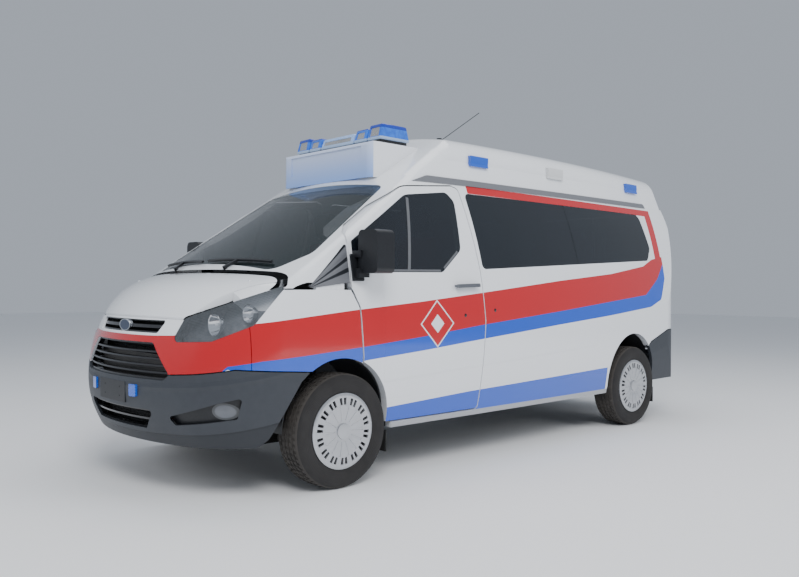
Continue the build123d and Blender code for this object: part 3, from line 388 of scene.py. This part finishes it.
def makeLens(name, colour, deep, glow, clearMiddle=False):
    # Ribbed coloured lens: upright flutes crossed by bands that shift its tint between two shades.
    s = lensSettings
    mat, tree, shader, coords = newMaterial(name, 0.12, 0.0, 1.0)
    x, y, z = splitXYZ(tree, coords)
    flutes = calc(tree, "SINE", calc(tree, "MULTIPLY", calc(tree, "ADD", x, y), s["flutes"]))
    bands = calc(tree, "SINE", calc(tree, "MULTIPLY", z, s["bands"]))
    share = calc(tree, "MULTIPLY_ADD", calc(tree, "MULTIPLY", flutes, bands), 0.3, 0.5)
    tint = mixColour(tree, share, colour, deep)
    if clearMiddle:    # the middle roof lamp is clear
        tint = mixColour(tree, between(tree, x, *s["clearRun"]), tint, s["clear"])
    tree.links.new(tint, shader.inputs["Base Color"])
    tree.links.new(tint, shader.inputs["Emission Color"])
    shader.inputs["Emission Strength"].default_value = glow
    bumpFrom(tree, shader, flutes, 0.25, 0.001)
    return mat


blueLens = makeLens("blueLens", (0.01, 0.14, 0.72), (0.003, 0.03, 0.30), 0.12, True)
redLens = makeLens("redLens", (0.62, 0.01, 0.012), (0.25, 0.004, 0.005), 0.05)
clearLens = makeLens("clearLens", (0.72, 0.74, 0.78), (0.42, 0.45, 0.5), 0.05)


fittingSettings = {"handlesBehind": 1.0, "handle": (0.16, 0.17, 0.19)}


def makeFittings():
    # Black mirrors, and satin grey door handles further back.
    mat, tree, shader, coords = newMaterial("fittings", 0.4)
    x, y, z = splitXYZ(tree, coords)
    handle = calc(tree, "LESS_THAN", x, fittingSettings["handlesBehind"])
    tint = mixColour(tree, noiseOf(tree, coords, 60), (0.008, 0.009, 0.011), (0.016, 0.017, 0.02))
    tint = mixColour(tree, handle, tint, fittingSettings["handle"])
    tree.links.new(tint, shader.inputs["Base Color"])
    tree.links.new(calc(tree, "MULTIPLY", handle, 0.5), shader.inputs["Metallic"])
    bumpFrom(tree, shader, noiseOf(tree, coords, 380, 6), 0.3, 0.0005)
    return mat


fogSettings = {"y": 0.800, "z": 0.512, "lens": 0.036, "bezel": 0.047}


def makeFog():
    # Black surround with a round lens set in its inner end.
    s = fogSettings
    mat, tree, shader, coords = newMaterial("fogSurround", 0.4, 0.0, 0.3)
    x, y, z = splitXYZ(tree, coords)
    dy = calc(tree, "SUBTRACT", calc(tree, "ABSOLUTE", y), s["y"])
    dz = calc(tree, "SUBTRACT", z, s["z"])
    reach = calc(tree, "SQRT", calc(tree, "ADD", calc(tree, "MULTIPLY", dy, dy), calc(tree, "MULTIPLY", dz, dz)))
    lens = calc(tree, "LESS_THAN", reach, s["lens"])
    bezel = between(tree, reach, s["lens"], s["bezel"])
    tint = mixColour(tree, noiseOf(tree, coords, 60), (0.008, 0.009, 0.011), (0.018, 0.019, 0.022))
    tint = mixColour(tree, lens, tint, (0.12, 0.13, 0.15))
    tint = mixColour(tree, bezel, tint, (0.09, 0.095, 0.1))
    tree.links.new(tint, shader.inputs["Base Color"])
    tree.links.new(lens, shader.inputs["Coat Weight"])
    bumpFrom(tree, shader, calc(tree, "MINIMUM", reach, 0.05), 0.8, 0.4)
    return mat


signSettings = {"fadeSlope": 3.6, "fadeOffset": -7.1, "front": 1.02}


def makeSignPaint():
    # A plain front face, nearly white at its top and blue at its foot.
    s = signSettings
    mat, tree, shader, coords = newMaterial("signPaint", 0.3, 0.0, 0.7)
    x, y, z = splitXYZ(tree, coords)
    fade = calc(tree, "MULTIPLY_ADD", z, s["fadeSlope"], s["fadeOffset"])
    front = calc(tree, "GREATER_THAN", x, s["front"])
    share = calc(tree, "MULTIPLY_ADD", calc(tree, "SUBTRACT", 1.0, fade), 0.6, 0.25)
    share = calc(tree, "MULTIPLY", share, front)
    tint = mixColour(tree, share, (0.80, 0.82, 0.86), (0.16, 0.34, 0.80))
    tree.links.new(tint, shader.inputs["Base Color"])
    bumpFrom(tree, shader, noiseOf(tree, coords, 130, 2), 0.05, 0.0004)
    return mat


barLensSettings = {"ribs": 420, "cloudTop": 2.322, "footTop": 2.258, "foot": (0.30, 0.42, 0.62)}


def makeBarLens(name, deep, bright):
    # Ribbed lens of the light bar, with a paler foot.
    s = barLensSettings
    mat, tree, shader, coords = newMaterial(name, 0.07, 0.0, 1.0)
    x, y, z = splitXYZ(tree, coords)
    ribs = calc(tree, "SINE", calc(tree, "MULTIPLY", y, s["ribs"]))
    cloud = calc(tree, "MULTIPLY", noiseOf(tree, coords, 26), calc(tree, "LESS_THAN", z, s["cloudTop"]))
    tint = mixColour(tree, cloud, deep, bright)
    tint = mixColour(tree, calc(tree, "LESS_THAN", z, s["footTop"]), tint, s["foot"])
    tree.links.new(tint, shader.inputs["Base Color"])
    tree.links.new(tint, shader.inputs["Emission Color"])
    shader.inputs["Emission Strength"].default_value = 0.10
    bumpFrom(tree, shader, ribs, 0.25, 0.001)
    return mat


ovalSettings = {"z": 0.966, "halfWidth": 0.074, "halfHeight": 0.036, "front": 2.5385, "rim": 0.74}


def makeGrille():
    # Black plastic with a plain oval in the middle slot.
    s = ovalSettings
    mat, tree, shader, coords = newMaterial("grillePlastic", 0.3, 0.0, 0.4)
    x, y, z = splitXYZ(tree, coords)
    across = calc(tree, "DIVIDE", y, s["halfWidth"])
    up = calc(tree, "DIVIDE", calc(tree, "SUBTRACT", z, s["z"]), s["halfHeight"])
    reach = calc(tree, "ADD", calc(tree, "MULTIPLY", across, across), calc(tree, "MULTIPLY", up, up))
    oval = calc(tree, "MULTIPLY", calc(tree, "LESS_THAN", reach, 1.0), calc(tree, "GREATER_THAN", x, s["front"]))
    rim = calc(tree, "MULTIPLY", oval, calc(tree, "GREATER_THAN", reach, s["rim"]))
    tint = mixColour(tree, noiseOf(tree, coords, 40), (0.008, 0.008, 0.01), (0.02, 0.02, 0.023))
    tint = mixColour(tree, oval, tint, (0.10, 0.13, 0.2))
    tint = mixColour(tree, rim, tint, (0.75, 0.77, 0.8))
    tree.links.new(tint, shader.inputs["Base Color"])
    tree.links.new(oval, shader.inputs["Metallic"])
    bumpFrom(tree, shader, noiseOf(tree, coords, 300), 0.15, 0.0004)
    return mat


trimSettings = {"tip": (1.905, 1.186), "top": 1.5, "grooves": [(0.33, 0.42), (0.55, 0.63)], "lastGroove": 0.84,
                "sillLow": (1.624, 0.914, 1.168), "sillHigh": (1.838, 0.9405, 1.221)}


def makeTrim():
    # Quarter trim with ridges that fan out from its front tip.
    s = trimSettings
    mat, tree, shader, coords = newMaterial("trimPlastic", 0.4, 0.0, 0.4)
    x, y, z = splitXYZ(tree, coords)
    rise = calc(tree, "SUBTRACT", z, s["tip"][1])
    run = calc(tree, "MAXIMUM", calc(tree, "SUBTRACT", s["tip"][0], x), 0.01)
    fan = calc(tree, "DIVIDE", rise, run)
    quarter = calc(tree, "LESS_THAN", z, s["top"])
    dark = calc(tree, "GREATER_THAN", fan, s["lastGroove"])
    for low, high in s["grooves"]:
        dark = calc(tree, "MAXIMUM", dark, between(tree, fan, low, high))
    dark = calc(tree, "MULTIPLY", dark, quarter)
    tint = mixColour(tree, noiseOf(tree, coords, 300), (0.13, 0.135, 0.15), (0.17, 0.175, 0.19))
    tint = mixColour(tree, dark, tint, (0.014, 0.016, 0.02))
    tree.links.new(tint, shader.inputs["Base Color"])
    ridge = calc(tree, "MULTIPLY", calc(tree, "SINE", calc(tree, "MULTIPLY", fan, 28)), quarter)
    bumpFrom(tree, shader, ridge, 0.6, 0.004)
    return mat


bumperSettings = {"nose": 2.62, "sweep": 0.16, "lipTop": 0.352, "shoulder": 0.625, "lipFrom": 1.9}


def makeBumper():
    # Grained dark plastic with a darker lower lip and soft creases under the fog lamps.
    s = bumperSettings
    mat, tree, shader, coords = newMaterial("bumperSkin", 0.5)
    x, y, z = splitXYZ(tree, coords)
    sweep = calc(tree, "MULTIPLY", calc(tree, "SUBTRACT", s["nose"], x), s["sweep"])
    lip = calc(tree, "SUBTRACT", calc(tree, "ADD", sweep, s["lipTop"]), z)
    front = calc(tree, "GREATER_THAN", x, s["lipFrom"])
    dark = calc(tree, "MULTIPLY", calc(tree, "GREATER_THAN", lip, 0.0), front)
    tint = mixColour(tree, noiseOf(tree, coords, 21), (0.032, 0.037, 0.045), (0.045, 0.05, 0.06))
    tint = mixColour(tree, calc(tree, "MULTIPLY", dark, 0.55), tint, (0.012, 0.014, 0.018))
    tree.links.new(tint, shader.inputs["Base Color"])
    fine = noiseOf(tree, coords, 420, 6)
    step = calc(tree, "MINIMUM", calc(tree, "MAXIMUM", calc(tree, "MULTIPLY", lip, 90), 0.0), 1.0)
    shoulder = calc(tree, "ABSOLUTE", calc(tree, "SUBTRACT", z, calc(tree, "ADD", sweep, s["shoulder"])))
    shoulder = calc(tree, "MINIMUM", calc(tree, "MULTIPLY", shoulder, 40), 1.0)
    height = calc(tree, "SUBTRACT", calc(tree, "MULTIPLY", fine, 0.06), calc(tree, "ADD", step, shoulder))
    bumpFrom(tree, shader, height, 0.8, 0.006)
    return mat


cadPaint = {
    stripedPaint: "bonnet door_front_left door_front_right nose_panel side_left side_right sliding_door wings "
                  "header cowl",
    whitePaint: "rear_header raised_roof rear_door_left rear_door_right",
    makeSignPaint(): "roof_sign_box",
    glossBlack: "light_bar",
    makeGrille(): "grilles",
    screenGlass: "windscreen",
    windowGlass: "door_glass_left door_glass_right",
    rearGlass: "side_glass rear_glass_left rear_glass_right",
    lampGlass: "headlamps",
    makeFog(): "fog_lamps",
    redLens: "tail_lamps",
    blueLens: "roof_lamps strobes",
    makeBumper(): "front_bumper rear_bumper",
    makeFittings(): "door_fittings_left door_fittings_right",
    blackPlastic: "wipers plate_bracket antenna arch_liners",
    makeTrim(): "side_trims",
    steelBlack: "chassis front_suspension rear_suspension knuckle_left knuckle_right hinge_posts",
    castMetal: "engine",
    flapRubber: "mud_flaps",
    floorVinyl: "cab_floor load_floor",
    cabinPlastic: "dashboard steering_wheel",
    silverPaint: "wheel_front_left wheel_front_right wheel_rear_left wheel_rear_right"}
for material, names in cadPaint.items():
    for name in names.split():
        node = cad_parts[name]
        clearSelection()
        node.select_set(True)
        bpy.context.view_layer.objects.active = node
        bpy.ops.object.shade_smooth_by_angle(angle=math.radians(28))
        node.data.materials.clear()
        node.data.materials.append(material)
print("frame painted")


# wheels
wheelSettings = {
    "centres": {"front_left": (1.6475, 0.868), "front_right": (1.6475, -0.868),
                "rear_left": (-1.6525, 0.860), "rear_right": (-1.6525, -0.860)},
    "height": 0.343, "segments": 112, "pairs": 14,
    # tyre and cover sections as (radius, offset outwards)
    "tyre": [(0.2045, -0.086), (0.210, -0.0905), (0.222, -0.0885), (0.242, -0.0985), (0.256, -0.1045),
             (0.285, -0.1070), (0.300, -0.1072), (0.316, -0.1035), (0.328, -0.0965), (0.3345, -0.088),
             (0.3395, -0.080), (0.3412, -0.058), (0.336, -0.056), (0.336, -0.050), (0.3422, -0.048),
             (0.3428, -0.022), (0.336, -0.020), (0.336, -0.014), (0.3429, -0.012)],
    "cover": [(0.188, 0.069), (0.188, -0.090), (0.2036, -0.090), (0.2036, 0.088), (0.2262, 0.0905),
              (0.2266, 0.0965), (0.2180, 0.1005), (0.2040, 0.1010), (0.2000, 0.1000), (0.1560, 0.1030),
              (0.1500, 0.1030), (0.0640, 0.0985), (0.0560, 0.0975), (0.0480, 0.0980), (0.0465, 0.1055),
              (0.0380, 0.1068), (0.0020, 0.1070)],
    "wallTop": 0.334, "ribBand": (0.262, 0.318), "dustFrom": 0.333,
    "tread": 0.338, "shoulder": 0.079, "middleRib": 0.04, "coverFace": 0.095,
    "openings": ((0.160, 0.199), (1, 2, 4, 5)), "grooves": ((0.066, 0.148), (0, 7))}


def makeTyreRubber(name, x0, z0):
    # Rings and fine ribs on the side wall, and dust on the tread.
    s = wheelSettings
    mat, tree, shader, coords = newMaterial(name, 0.78)
    x, y, z = splitXYZ(tree, coords)
    dx, dz = calc(tree, "SUBTRACT", x, x0), calc(tree, "SUBTRACT", z, z0)
    radius = calc(tree, "SQRT", calc(tree, "ADD", calc(tree, "MULTIPLY", dx, dx), calc(tree, "MULTIPLY", dz, dz)))
    wall = calc(tree, "LESS_THAN", radius, s["wallTop"])
    rings = calc(tree, "SINE", calc(tree, "MULTIPLY", radius, 560))
    inBand = between(tree, radius, *s["ribBand"])
    around = calc(tree, "SINE", calc(tree, "MULTIPLY", calc(tree, "ARCTAN2", dz, dx), 240))
    ribs = calc(tree, "MULTIPLY", calc(tree, "MULTIPLY", around, inBand), 0.35)
    height = calc(tree, "ADD", calc(tree, "MULTIPLY", rings, 0.3), ribs)
    height = calc(tree, "MULTIPLY", height, wall)
    height = calc(tree, "ADD", height, calc(tree, "MULTIPLY", noiseOf(tree, coords, 350), 0.3))
    dusty = calc(tree, "MULTIPLY", calc(tree, "GREATER_THAN", radius, s["dustFrom"]), noiseOf(tree, coords, 9))
    tint = mixColour(tree, noiseOf(tree, coords, 14), (0.017, 0.016, 0.016), (0.034, 0.032, 0.031))
    tint = mixColour(tree, dusty, tint, (0.085, 0.075, 0.066))
    tree.links.new(tint, shader.inputs["Base Color"])
    bumpFrom(tree, shader, height, 0.5, 0.0015)
    return mat


def makeTyre(tag, x0, y0, side):
    s = wheelSettings
    half = s["tyre"]
    profile = half + [(r, -o) for r, o in half[::-1]] + [half[0]]
    obj = turned("tyreShape_" + tag, (x0, y0, s["height"]), profile, s["segments"], side)
    # sipes: every other cell of the shoulder and middle ribs is pressed in
    editAll()
    bpy.ops.mesh.select_all(action="DESELECT")
    mesh = bmesh.from_edit_mesh(obj.data)
    for face in mesh.faces:
        c = face.calc_center_median()
        r = math.hypot(c.x - x0, c.z - s["height"])
        turn = math.atan2(c.z - s["height"], c.x - x0) / (2 * math.pi) * s["segments"]
        row = abs(c.y - y0)
        odd = int(math.floor(turn + (row > s["middleRib"]))) % 2
        if r > s["tread"] and row < s["shoulder"] and not odd:
            face.select_set(True)
    bmesh.update_edit_mesh(obj.data)
    bpy.ops.mesh.inset(thickness=0.0016, use_individual=True)
    bpy.ops.mesh.inset(thickness=0.0004, depth=-0.0035, use_individual=True)
    outward()
    rubber = makeTyreRubber("rubber_" + tag, x0, s["height"])
    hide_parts("tyre_" + tag)
    return finishPiece(obj, rubber, "wheel_" + tag, 32)


def makeCover(tag, x0, y0, side):
    # Wheel cover: rim lip, a ring of paired openings, grooved dish and centre cap.
    s = wheelSettings
    obj = turned("wheelCover_" + tag, (x0, y0, s["height"]), s["cover"], s["segments"], side, closed=False)
    obj.data.materials.append(silverPaint)
    obj.data.materials.append(shadeBlack)
    cells = s["segments"] // s["pairs"]
    for job in ("openings", "grooves"):
        (nearest, farthest), wanted = s[job]
        editAll()
        bpy.ops.mesh.select_all(action="DESELECT")
        mesh = bmesh.from_edit_mesh(obj.data)
        for face in mesh.faces:
            c = face.calc_center_median()
            r = math.hypot(c.x - x0, c.z - s["height"])
            turn = math.atan2(c.z - s["height"], c.x - x0) / (2 * math.pi) * s["segments"]
            onFace = (c.y - y0) * side > s["coverFace"]
            if onFace and nearest < r < farthest and int(math.floor(turn)) % cells in wanted:
                face.select_set(True)
        bmesh.update_edit_mesh(obj.data)
        if job == "openings":
            bpy.ops.mesh.inset(thickness=0.0014)
            bpy.ops.mesh.inset(thickness=0.0008, depth=-0.012)
            # the openings are shallow pits painted near-black: painted shade where the real cover has holes
            obj.active_material_index = 1
            bpy.ops.object.material_slot_assign()
        else:
            bpy.ops.mesh.inset(thickness=0.0014, depth=-0.0022)
        outward()
    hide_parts("wheel_" + tag)
    return finishPiece(obj, silverPaint, "wheel_" + tag, 30)


for tag, (x0, y0) in wheelSettings["centres"].items():
    side = 1 if y0 > 0 else -1
    makeTyre(tag, x0, y0, side)
    makeCover(tag, x0, y0, side)
print("wheels done")


# headlamps
lampSettings = {"bowls": [((2.395, 0.690, 0.985), 0.060), ((2.245, 0.800, 1.045), 0.050)],
                "depth": 0.05, "setBack": 0.04}
for sideName, side in (("left", 1), ("right", -1)):
    for number, (centre, radius) in enumerate(lampSettings["bowls"]):
        place = (centre[0] - lampSettings["setBack"], centre[1] * side, centre[2])
        d = lampSettings["depth"]
        profile = [(radius * 0.25, -d), (radius * 0.62, -d * 0.8), (radius * 0.88, -d * 0.4), (radius, 0),
                   (radius * 1.07, 0.002), (radius * 1.07, -0.006), (radius * 0.7, -d * 0.9),
                   (radius * 0.3, -d * 1.12), (radius * 0.02, -d * 1.14), (radius * 0.02, -d * 0.98),
                   (radius * 0.25, -d)]
        bowl = turned(f"lampBowl_{sideName}_{number}", place, profile, 48, 1, "X")
        finishPiece(bowl, chromeTrim, "body")
        profile = [(0.0008, -d * 0.15), (0.008, -d * 0.25), (0.011, -d * 0.5), (0.009, -d * 0.8),
                   (0.009, -d * 0.97)]
        bulb = turned(f"lampBulb_{sideName}_{number}", place, profile, 24, 1, "X", closed=False)
        finishPiece(bulb, clearLens, "body")
print("lamps done")


# light bar: a dark tray with stepped lenses and the lamp modules behind them
barSettings = {"trayLow": (0.668, -0.478, 2.2085), "trayHigh": (0.928, 0.478, 2.242),
               "rear": 0.652, "front": 0.943, "bottom": 2.238, "taper": (0.80, 0.93, 1), "round": 0.014,
               # each dome from y to y, and its top
               "domes": [(-0.495, -0.345, 2.3515), (-0.337, -0.200, 2.334), (-0.192, 0.192, 2.318),
                         (0.200, 0.337, 2.334), (0.345, 0.495, 2.3515)]}


def lampDome(name, low, high, lens, module):
    obj = softBlock(name, low, high, 0)
    editAll()
    mesh = bmesh.from_edit_mesh(obj.data)
    for face in mesh.faces:
        face.select_set(face.normal.z > 0.9)
    bmesh.update_edit_mesh(obj.data)
    bpy.ops.transform.resize(value=barSettings["taper"])
    bpy.ops.object.mode_set(mode="OBJECT")
    mod = obj.modifiers.new("round", "BEVEL")
    mod.width = barSettings["round"]
    mod.segments = 4
    applyAll(obj)
    obj.data.materials.append(lens)
    obj.data.materials.append(module)
    editAll()
    mesh = bmesh.from_edit_mesh(obj.data)
    for face in mesh.faces:
        face.select_set(abs(face.normal.x) > 0.9 and face.calc_area() > 0.002)
    bmesh.update_edit_mesh(obj.data)
    bpy.ops.mesh.inset(thickness=0.010)
    bpy.ops.mesh.inset(thickness=0.002, depth=-0.005)
    obj.active_material_index = 1
    bpy.ops.object.material_slot_assign()
    outward()
    return finishPiece(obj, lens, "body", 40)


barBlue = makeBarLens("barBlue", (0.004, 0.035, 0.36), (0.03, 0.22, 0.85))
barClear = makeBarLens("barClear", (0.16, 0.30, 0.62), (0.42, 0.58, 0.86))
lampModule = grained("lampModule", (0.28, 0.27, 0.26), (0.55, 0.56, 0.58), 60, 0.25, 0.3, 0.5, 0.6)
tray = softBlock("barTray", barSettings["trayLow"], barSettings["trayHigh"], 0.006, 2)
finishPiece(tray, glossBlack, "body")
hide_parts("light_bar")
for number, (start, end, top) in enumerate(barSettings["domes"]):
    low, high = (barSettings["rear"], start, barSettings["bottom"]), (barSettings["front"], end, top)
    lens = barClear if number == 2 else barBlue
    lampDome(f"barDome_{number}", low, high, lens, lampModule)
print("light bar done")


# strips on the door glass, and the lock covers
def laidStrip(name, nodeName, side, start, end, width, material, body):
    # A strip from start to end (x, z), projected sideways on a pane and given a thickness.
    clearSelection()
    along, up = end[0] - start[0], end[1] - start[1]
    middle = ((start[0] + end[0]) / 2, side * 1.25, (start[1] + end[1]) / 2)
    bpy.ops.mesh.primitive_grid_add(x_subdivisions=28, y_subdivisions=3, size=1, location=middle,
                                    rotation=(math.radians(-90) * side, -math.atan2(up, along), 0))
    obj = nameIt(name)
    obj.scale = (math.hypot(along, up), width, 1)
    bpy.ops.object.transform_apply(location=True, rotation=True, scale=True)
    mod = obj.modifiers.new("lay", "SHRINKWRAP")
    mod.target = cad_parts[nodeName]
    mod.wrap_method = "PROJECT"
    mod.use_project_y = True
    mod.use_positive_direction = side < 0
    mod.use_negative_direction = side > 0
    mod = obj.modifiers.new("thick", "SOLIDIFY")
    mod.thickness = 0.0035
    mod.offset = 0.6
    mod = obj.modifiers.new("round", "BEVEL")
    mod.width = 0.0009
    mod.segments = 2
    mod.limit_method = "ANGLE"
    applyAll(obj)
    editAll()
    outward()
    return finishPiece(obj, material, body, 40)


# start (x, z), end (x, z) and width of each strip
stripSettings = {"divider": ((1.0915, 1.302), (1.008, 1.792), 0.024),
                 "belt": ((1.520, 1.3015), (0.800, 1.3110), 0.014),
                 "beltRise": ((0.766, 1.329), (0.6145, 1.4455), 0.015)}
lockSettings = {"places": [("front_door", 0.5845, 0.9805, 1.009), ("body", 0.2705, 0.9807, 1.039)],
                "profile": [(0.0125, -0.002), (0.0125, 0.0006), (0.0105, 0.0018), (0.0005, 0.0019)]}
for sideName, side in (("left", 1), ("right", -1)):
    door = f"front_door_{sideName}"
    for part, (start, end, width) in stripSettings.items():
        laidStrip(f"{part}_{sideName}", f"door_glass_{sideName}", side, start, end, width,
                  greyTrim, door)
    for owner, x, y, z in lockSettings["places"]:
        if owner == "body" and side < 0:    # only the left side has one behind the door
            continue
        place = (x, y * side, z)
        cover = turned(f"lock_{owner}_{sideName}", place, lockSettings["profile"], 32, side, closed=False)
        finishPiece(cover, glossBlack, "body" if owner == "body" else door)
for sideName, side in (("left", 1), ("right", -1)):
    low, high = trimSettings["sillLow"], trimSettings["sillHigh"]
    y = sorted((low[1] * side, high[1] * side))
    sill = softBlock(f"trimSill_{sideName}", (low[0], y[0], low[2]), (high[0], y[1], high[2]), 0.003, 5)
    editAll()
    bpy.ops.mesh.inset(thickness=0.002, depth=-0.0008, use_individual=True)
    outward()
    finishPiece(sill, whitePaint, "body")
print("strips done")


# near-black boxes behind the grilles: painted shade seen through the grille openings
shadeBoxes = {"grille": ((2.440, -0.50, 0.655), (2.452, 0.50, 0.900)),
           "slot": ((2.470, -0.385, 0.922), (2.480, 0.385, 1.004)),
           "intake": ((2.490, -0.36, 0.372), (2.500, 0.36, 0.512))}
for name, (low, high) in shadeBoxes.items():
    obj = softBlock("backing_" + name, low, high, 0.002, 6)
    editAll()
    bpy.ops.mesh.inset(thickness=0.004, depth=-0.003, use_individual=True)
    outward()
    finishPiece(obj, shadeBlack, "body")
print("backing done")


# seats: corners of each piece from the seat's own middle line, and the seat's distance from the car's
seatSettings = {"y": 0.52, "lean": -9, "backFrom": 0.50, "pivotHeight": 0.90, "accentBand": (1.32, 1.575),
                "cushion": ((0.53, -0.235, 0.80), (1.085, 0.235, 0.935)),
                "back": ((-0.06, -0.225, 0.92), (0.05, 0.225, 1.57)),
                "head": ((-0.045, -0.115, 1.60), (0.045, 0.115, 1.80)),
                "base": ((0.60, -0.19, 0.4705), (1.04, 0.19, 0.79))}


def makeSeatCloth(name, main, accent):
    mat, tree, shader, coords = newMaterial(name, 0.9)
    x, y, z = splitXYZ(tree, coords)
    weave = calc(tree, "MULTIPLY", calc(tree, "SINE", calc(tree, "MULTIPLY", calc(tree, "ADD", y, z), 700)),
                 calc(tree, "SINE", calc(tree, "MULTIPLY", calc(tree, "SUBTRACT", y, z), 700)))
    band = between(tree, z, *seatSettings["accentBand"])
    tint = mixColour(tree, calc(tree, "MULTIPLY_ADD", weave, 0.3, 0.5), main, tuple(c * 1.3 for c in main))
    tint = mixColour(tree, band, tint, accent)
    tree.links.new(tint, shader.inputs["Base Color"])
    shader.inputs["Sheen Weight"].default_value = 0.1
    bumpFrom(tree, shader, weave, 0.3, 0.0008)
    return mat


def puff(obj, pressure):
    # Blow a cushion up a little with a short cloth run, then keep the shape.
    bpy.context.view_layer.objects.active = obj
    mod = obj.modifiers.new("remesh", "REMESH")
    mod.mode = "VOXEL"
    mod.voxel_size = 0.018
    applyAll(obj)
    mod = obj.modifiers.new("cloth", "CLOTH")
    mod.settings.use_pressure = True
    mod.settings.uniform_pressure_force = pressure
    mod.settings.effector_weights.gravity = 0
    mod.settings.quality = 5
    for step in range(1, 13):
        bpy.context.scene.frame_set(step)
    applyAll(obj)
    bpy.context.scene.frame_set(1)
    mod = obj.modifiers.new("even", "SMOOTH")
    mod.iterations = 6
    mod = obj.modifiers.new("fine", "SUBSURF")
    mod.levels = 1
    applyAll(obj)


seatCloth = makeSeatCloth("seatCloth", (0.022, 0.022, 0.026), (0.30, 0.012, 0.014))
plainCloth = makeSeatCloth("plainCloth", (0.022, 0.022, 0.026), (0.03, 0.03, 0.034))
for sideName, side in (("left", 1), ("right", -1)):
    s = seatSettings
    middle = s["y"] * side
    for part in ("cushion", "back", "head"):
        low, high = s[part]
        low, high = (low[0], low[1] + middle, low[2]), (high[0], high[1] + middle, high[2])
        obj = softBlock(f"seat_{part}_{sideName}", low, high, 0.03)
        if part != "cushion":
            editAll()
            pivot = (s["backFrom"], middle, s["pivotHeight"])
            bpy.ops.transform.translate(value=(s["backFrom"], 0, 0))
            bpy.ops.transform.rotate(value=math.radians(s["lean"]), orient_axis="Y", center_override=pivot)
            bpy.ops.object.mode_set(mode="OBJECT")
        puff(obj, 1.2)
        finishPiece(obj, plainCloth if part == "head" else seatCloth, "body", 60)
    low, high = s["base"]
    low, high = (low[0], low[1] + middle, low[2]), (high[0], high[1] + middle, high[2])
    base = softBlock(f"seatBase_{sideName}", low, high, 0.02)
    editAll()
    bpy.ops.mesh.inset(thickness=0.03, depth=-0.006, use_individual=True)
    outward()
    finishPiece(base, cabinPlastic, "body")
    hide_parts("seats")
print("seats done")


# stage, light and camera
clearSelection()
bpy.ops.mesh.primitive_plane_add(size=60, location=(0, 0, 0))
floor = nameIt("stageFloor")
stagePale = grained("stagePale", (0.86, 0.87, 0.88), (0.90, 0.90, 0.91), 3, 0.7, 0.02)
floor.data.materials.append(stagePale)

skySettings = {"colour": (0.80, 0.88, 1.0, 1), "strength": 0.50}
world = bpy.data.worlds.new("soft")
bpy.context.scene.world = world
world.use_nodes = True
sky = world.node_tree.nodes["Background"].inputs
sky["Color"].default_value = skySettings["colour"]
sky["Strength"].default_value = skySettings["strength"]

# place, size and power of each light; all face a point 1 m over the ground
lightSettings = {"key": ((5.0, 6.5, 7.5), 4.0, 620), "side": ((-4.0, 8.0, 4.5), 5.0, 330),
                 "front": ((9.0, -3.0, 4.0), 4.0, 210), "top": ((-1.0, 0.0, 8.5), 6.0, 190)}
for name, (place, size, power) in lightSettings.items():
    data = bpy.data.lights.new(name, "AREA")
    data.size = size
    data.energy = power
    lamp = bpy.data.objects.new(name, data)
    bpy.context.collection.objects.link(lamp)
    lamp.location = place
    lamp.visible_glossy = name == "top"    # the others would show as squares in the paint
    aim = Vector(place) - Vector((0, 0, 1))
    lamp.rotation_euler = aim.to_track_quat("Z", "Y").to_euler()

viewSettings = {"place": (4.6535, 4.626, 1.205), "yaw": 226.623, "pitch": -0.155, "roll": 0.314, "lens": 35.85}
cameraData = bpy.data.cameras.new("camera")
cameraData.lens = viewSettings["lens"]
cameraData.sensor_width = 36
camera = bpy.data.objects.new("camera", cameraData)
bpy.context.collection.objects.link(camera)
yaw = Matrix.Rotation(math.radians(viewSettings["yaw"] - 90), 3, "Z")
pitch = Matrix.Rotation(math.radians(90 + viewSettings["pitch"]), 3, "X")
roll = Matrix.Rotation(math.radians(viewSettings["roll"]), 3, "Z")
camera.rotation_euler = (yaw @ pitch @ roll).to_euler()
camera.location = viewSettings["place"]
bpy.context.scene.camera = camera
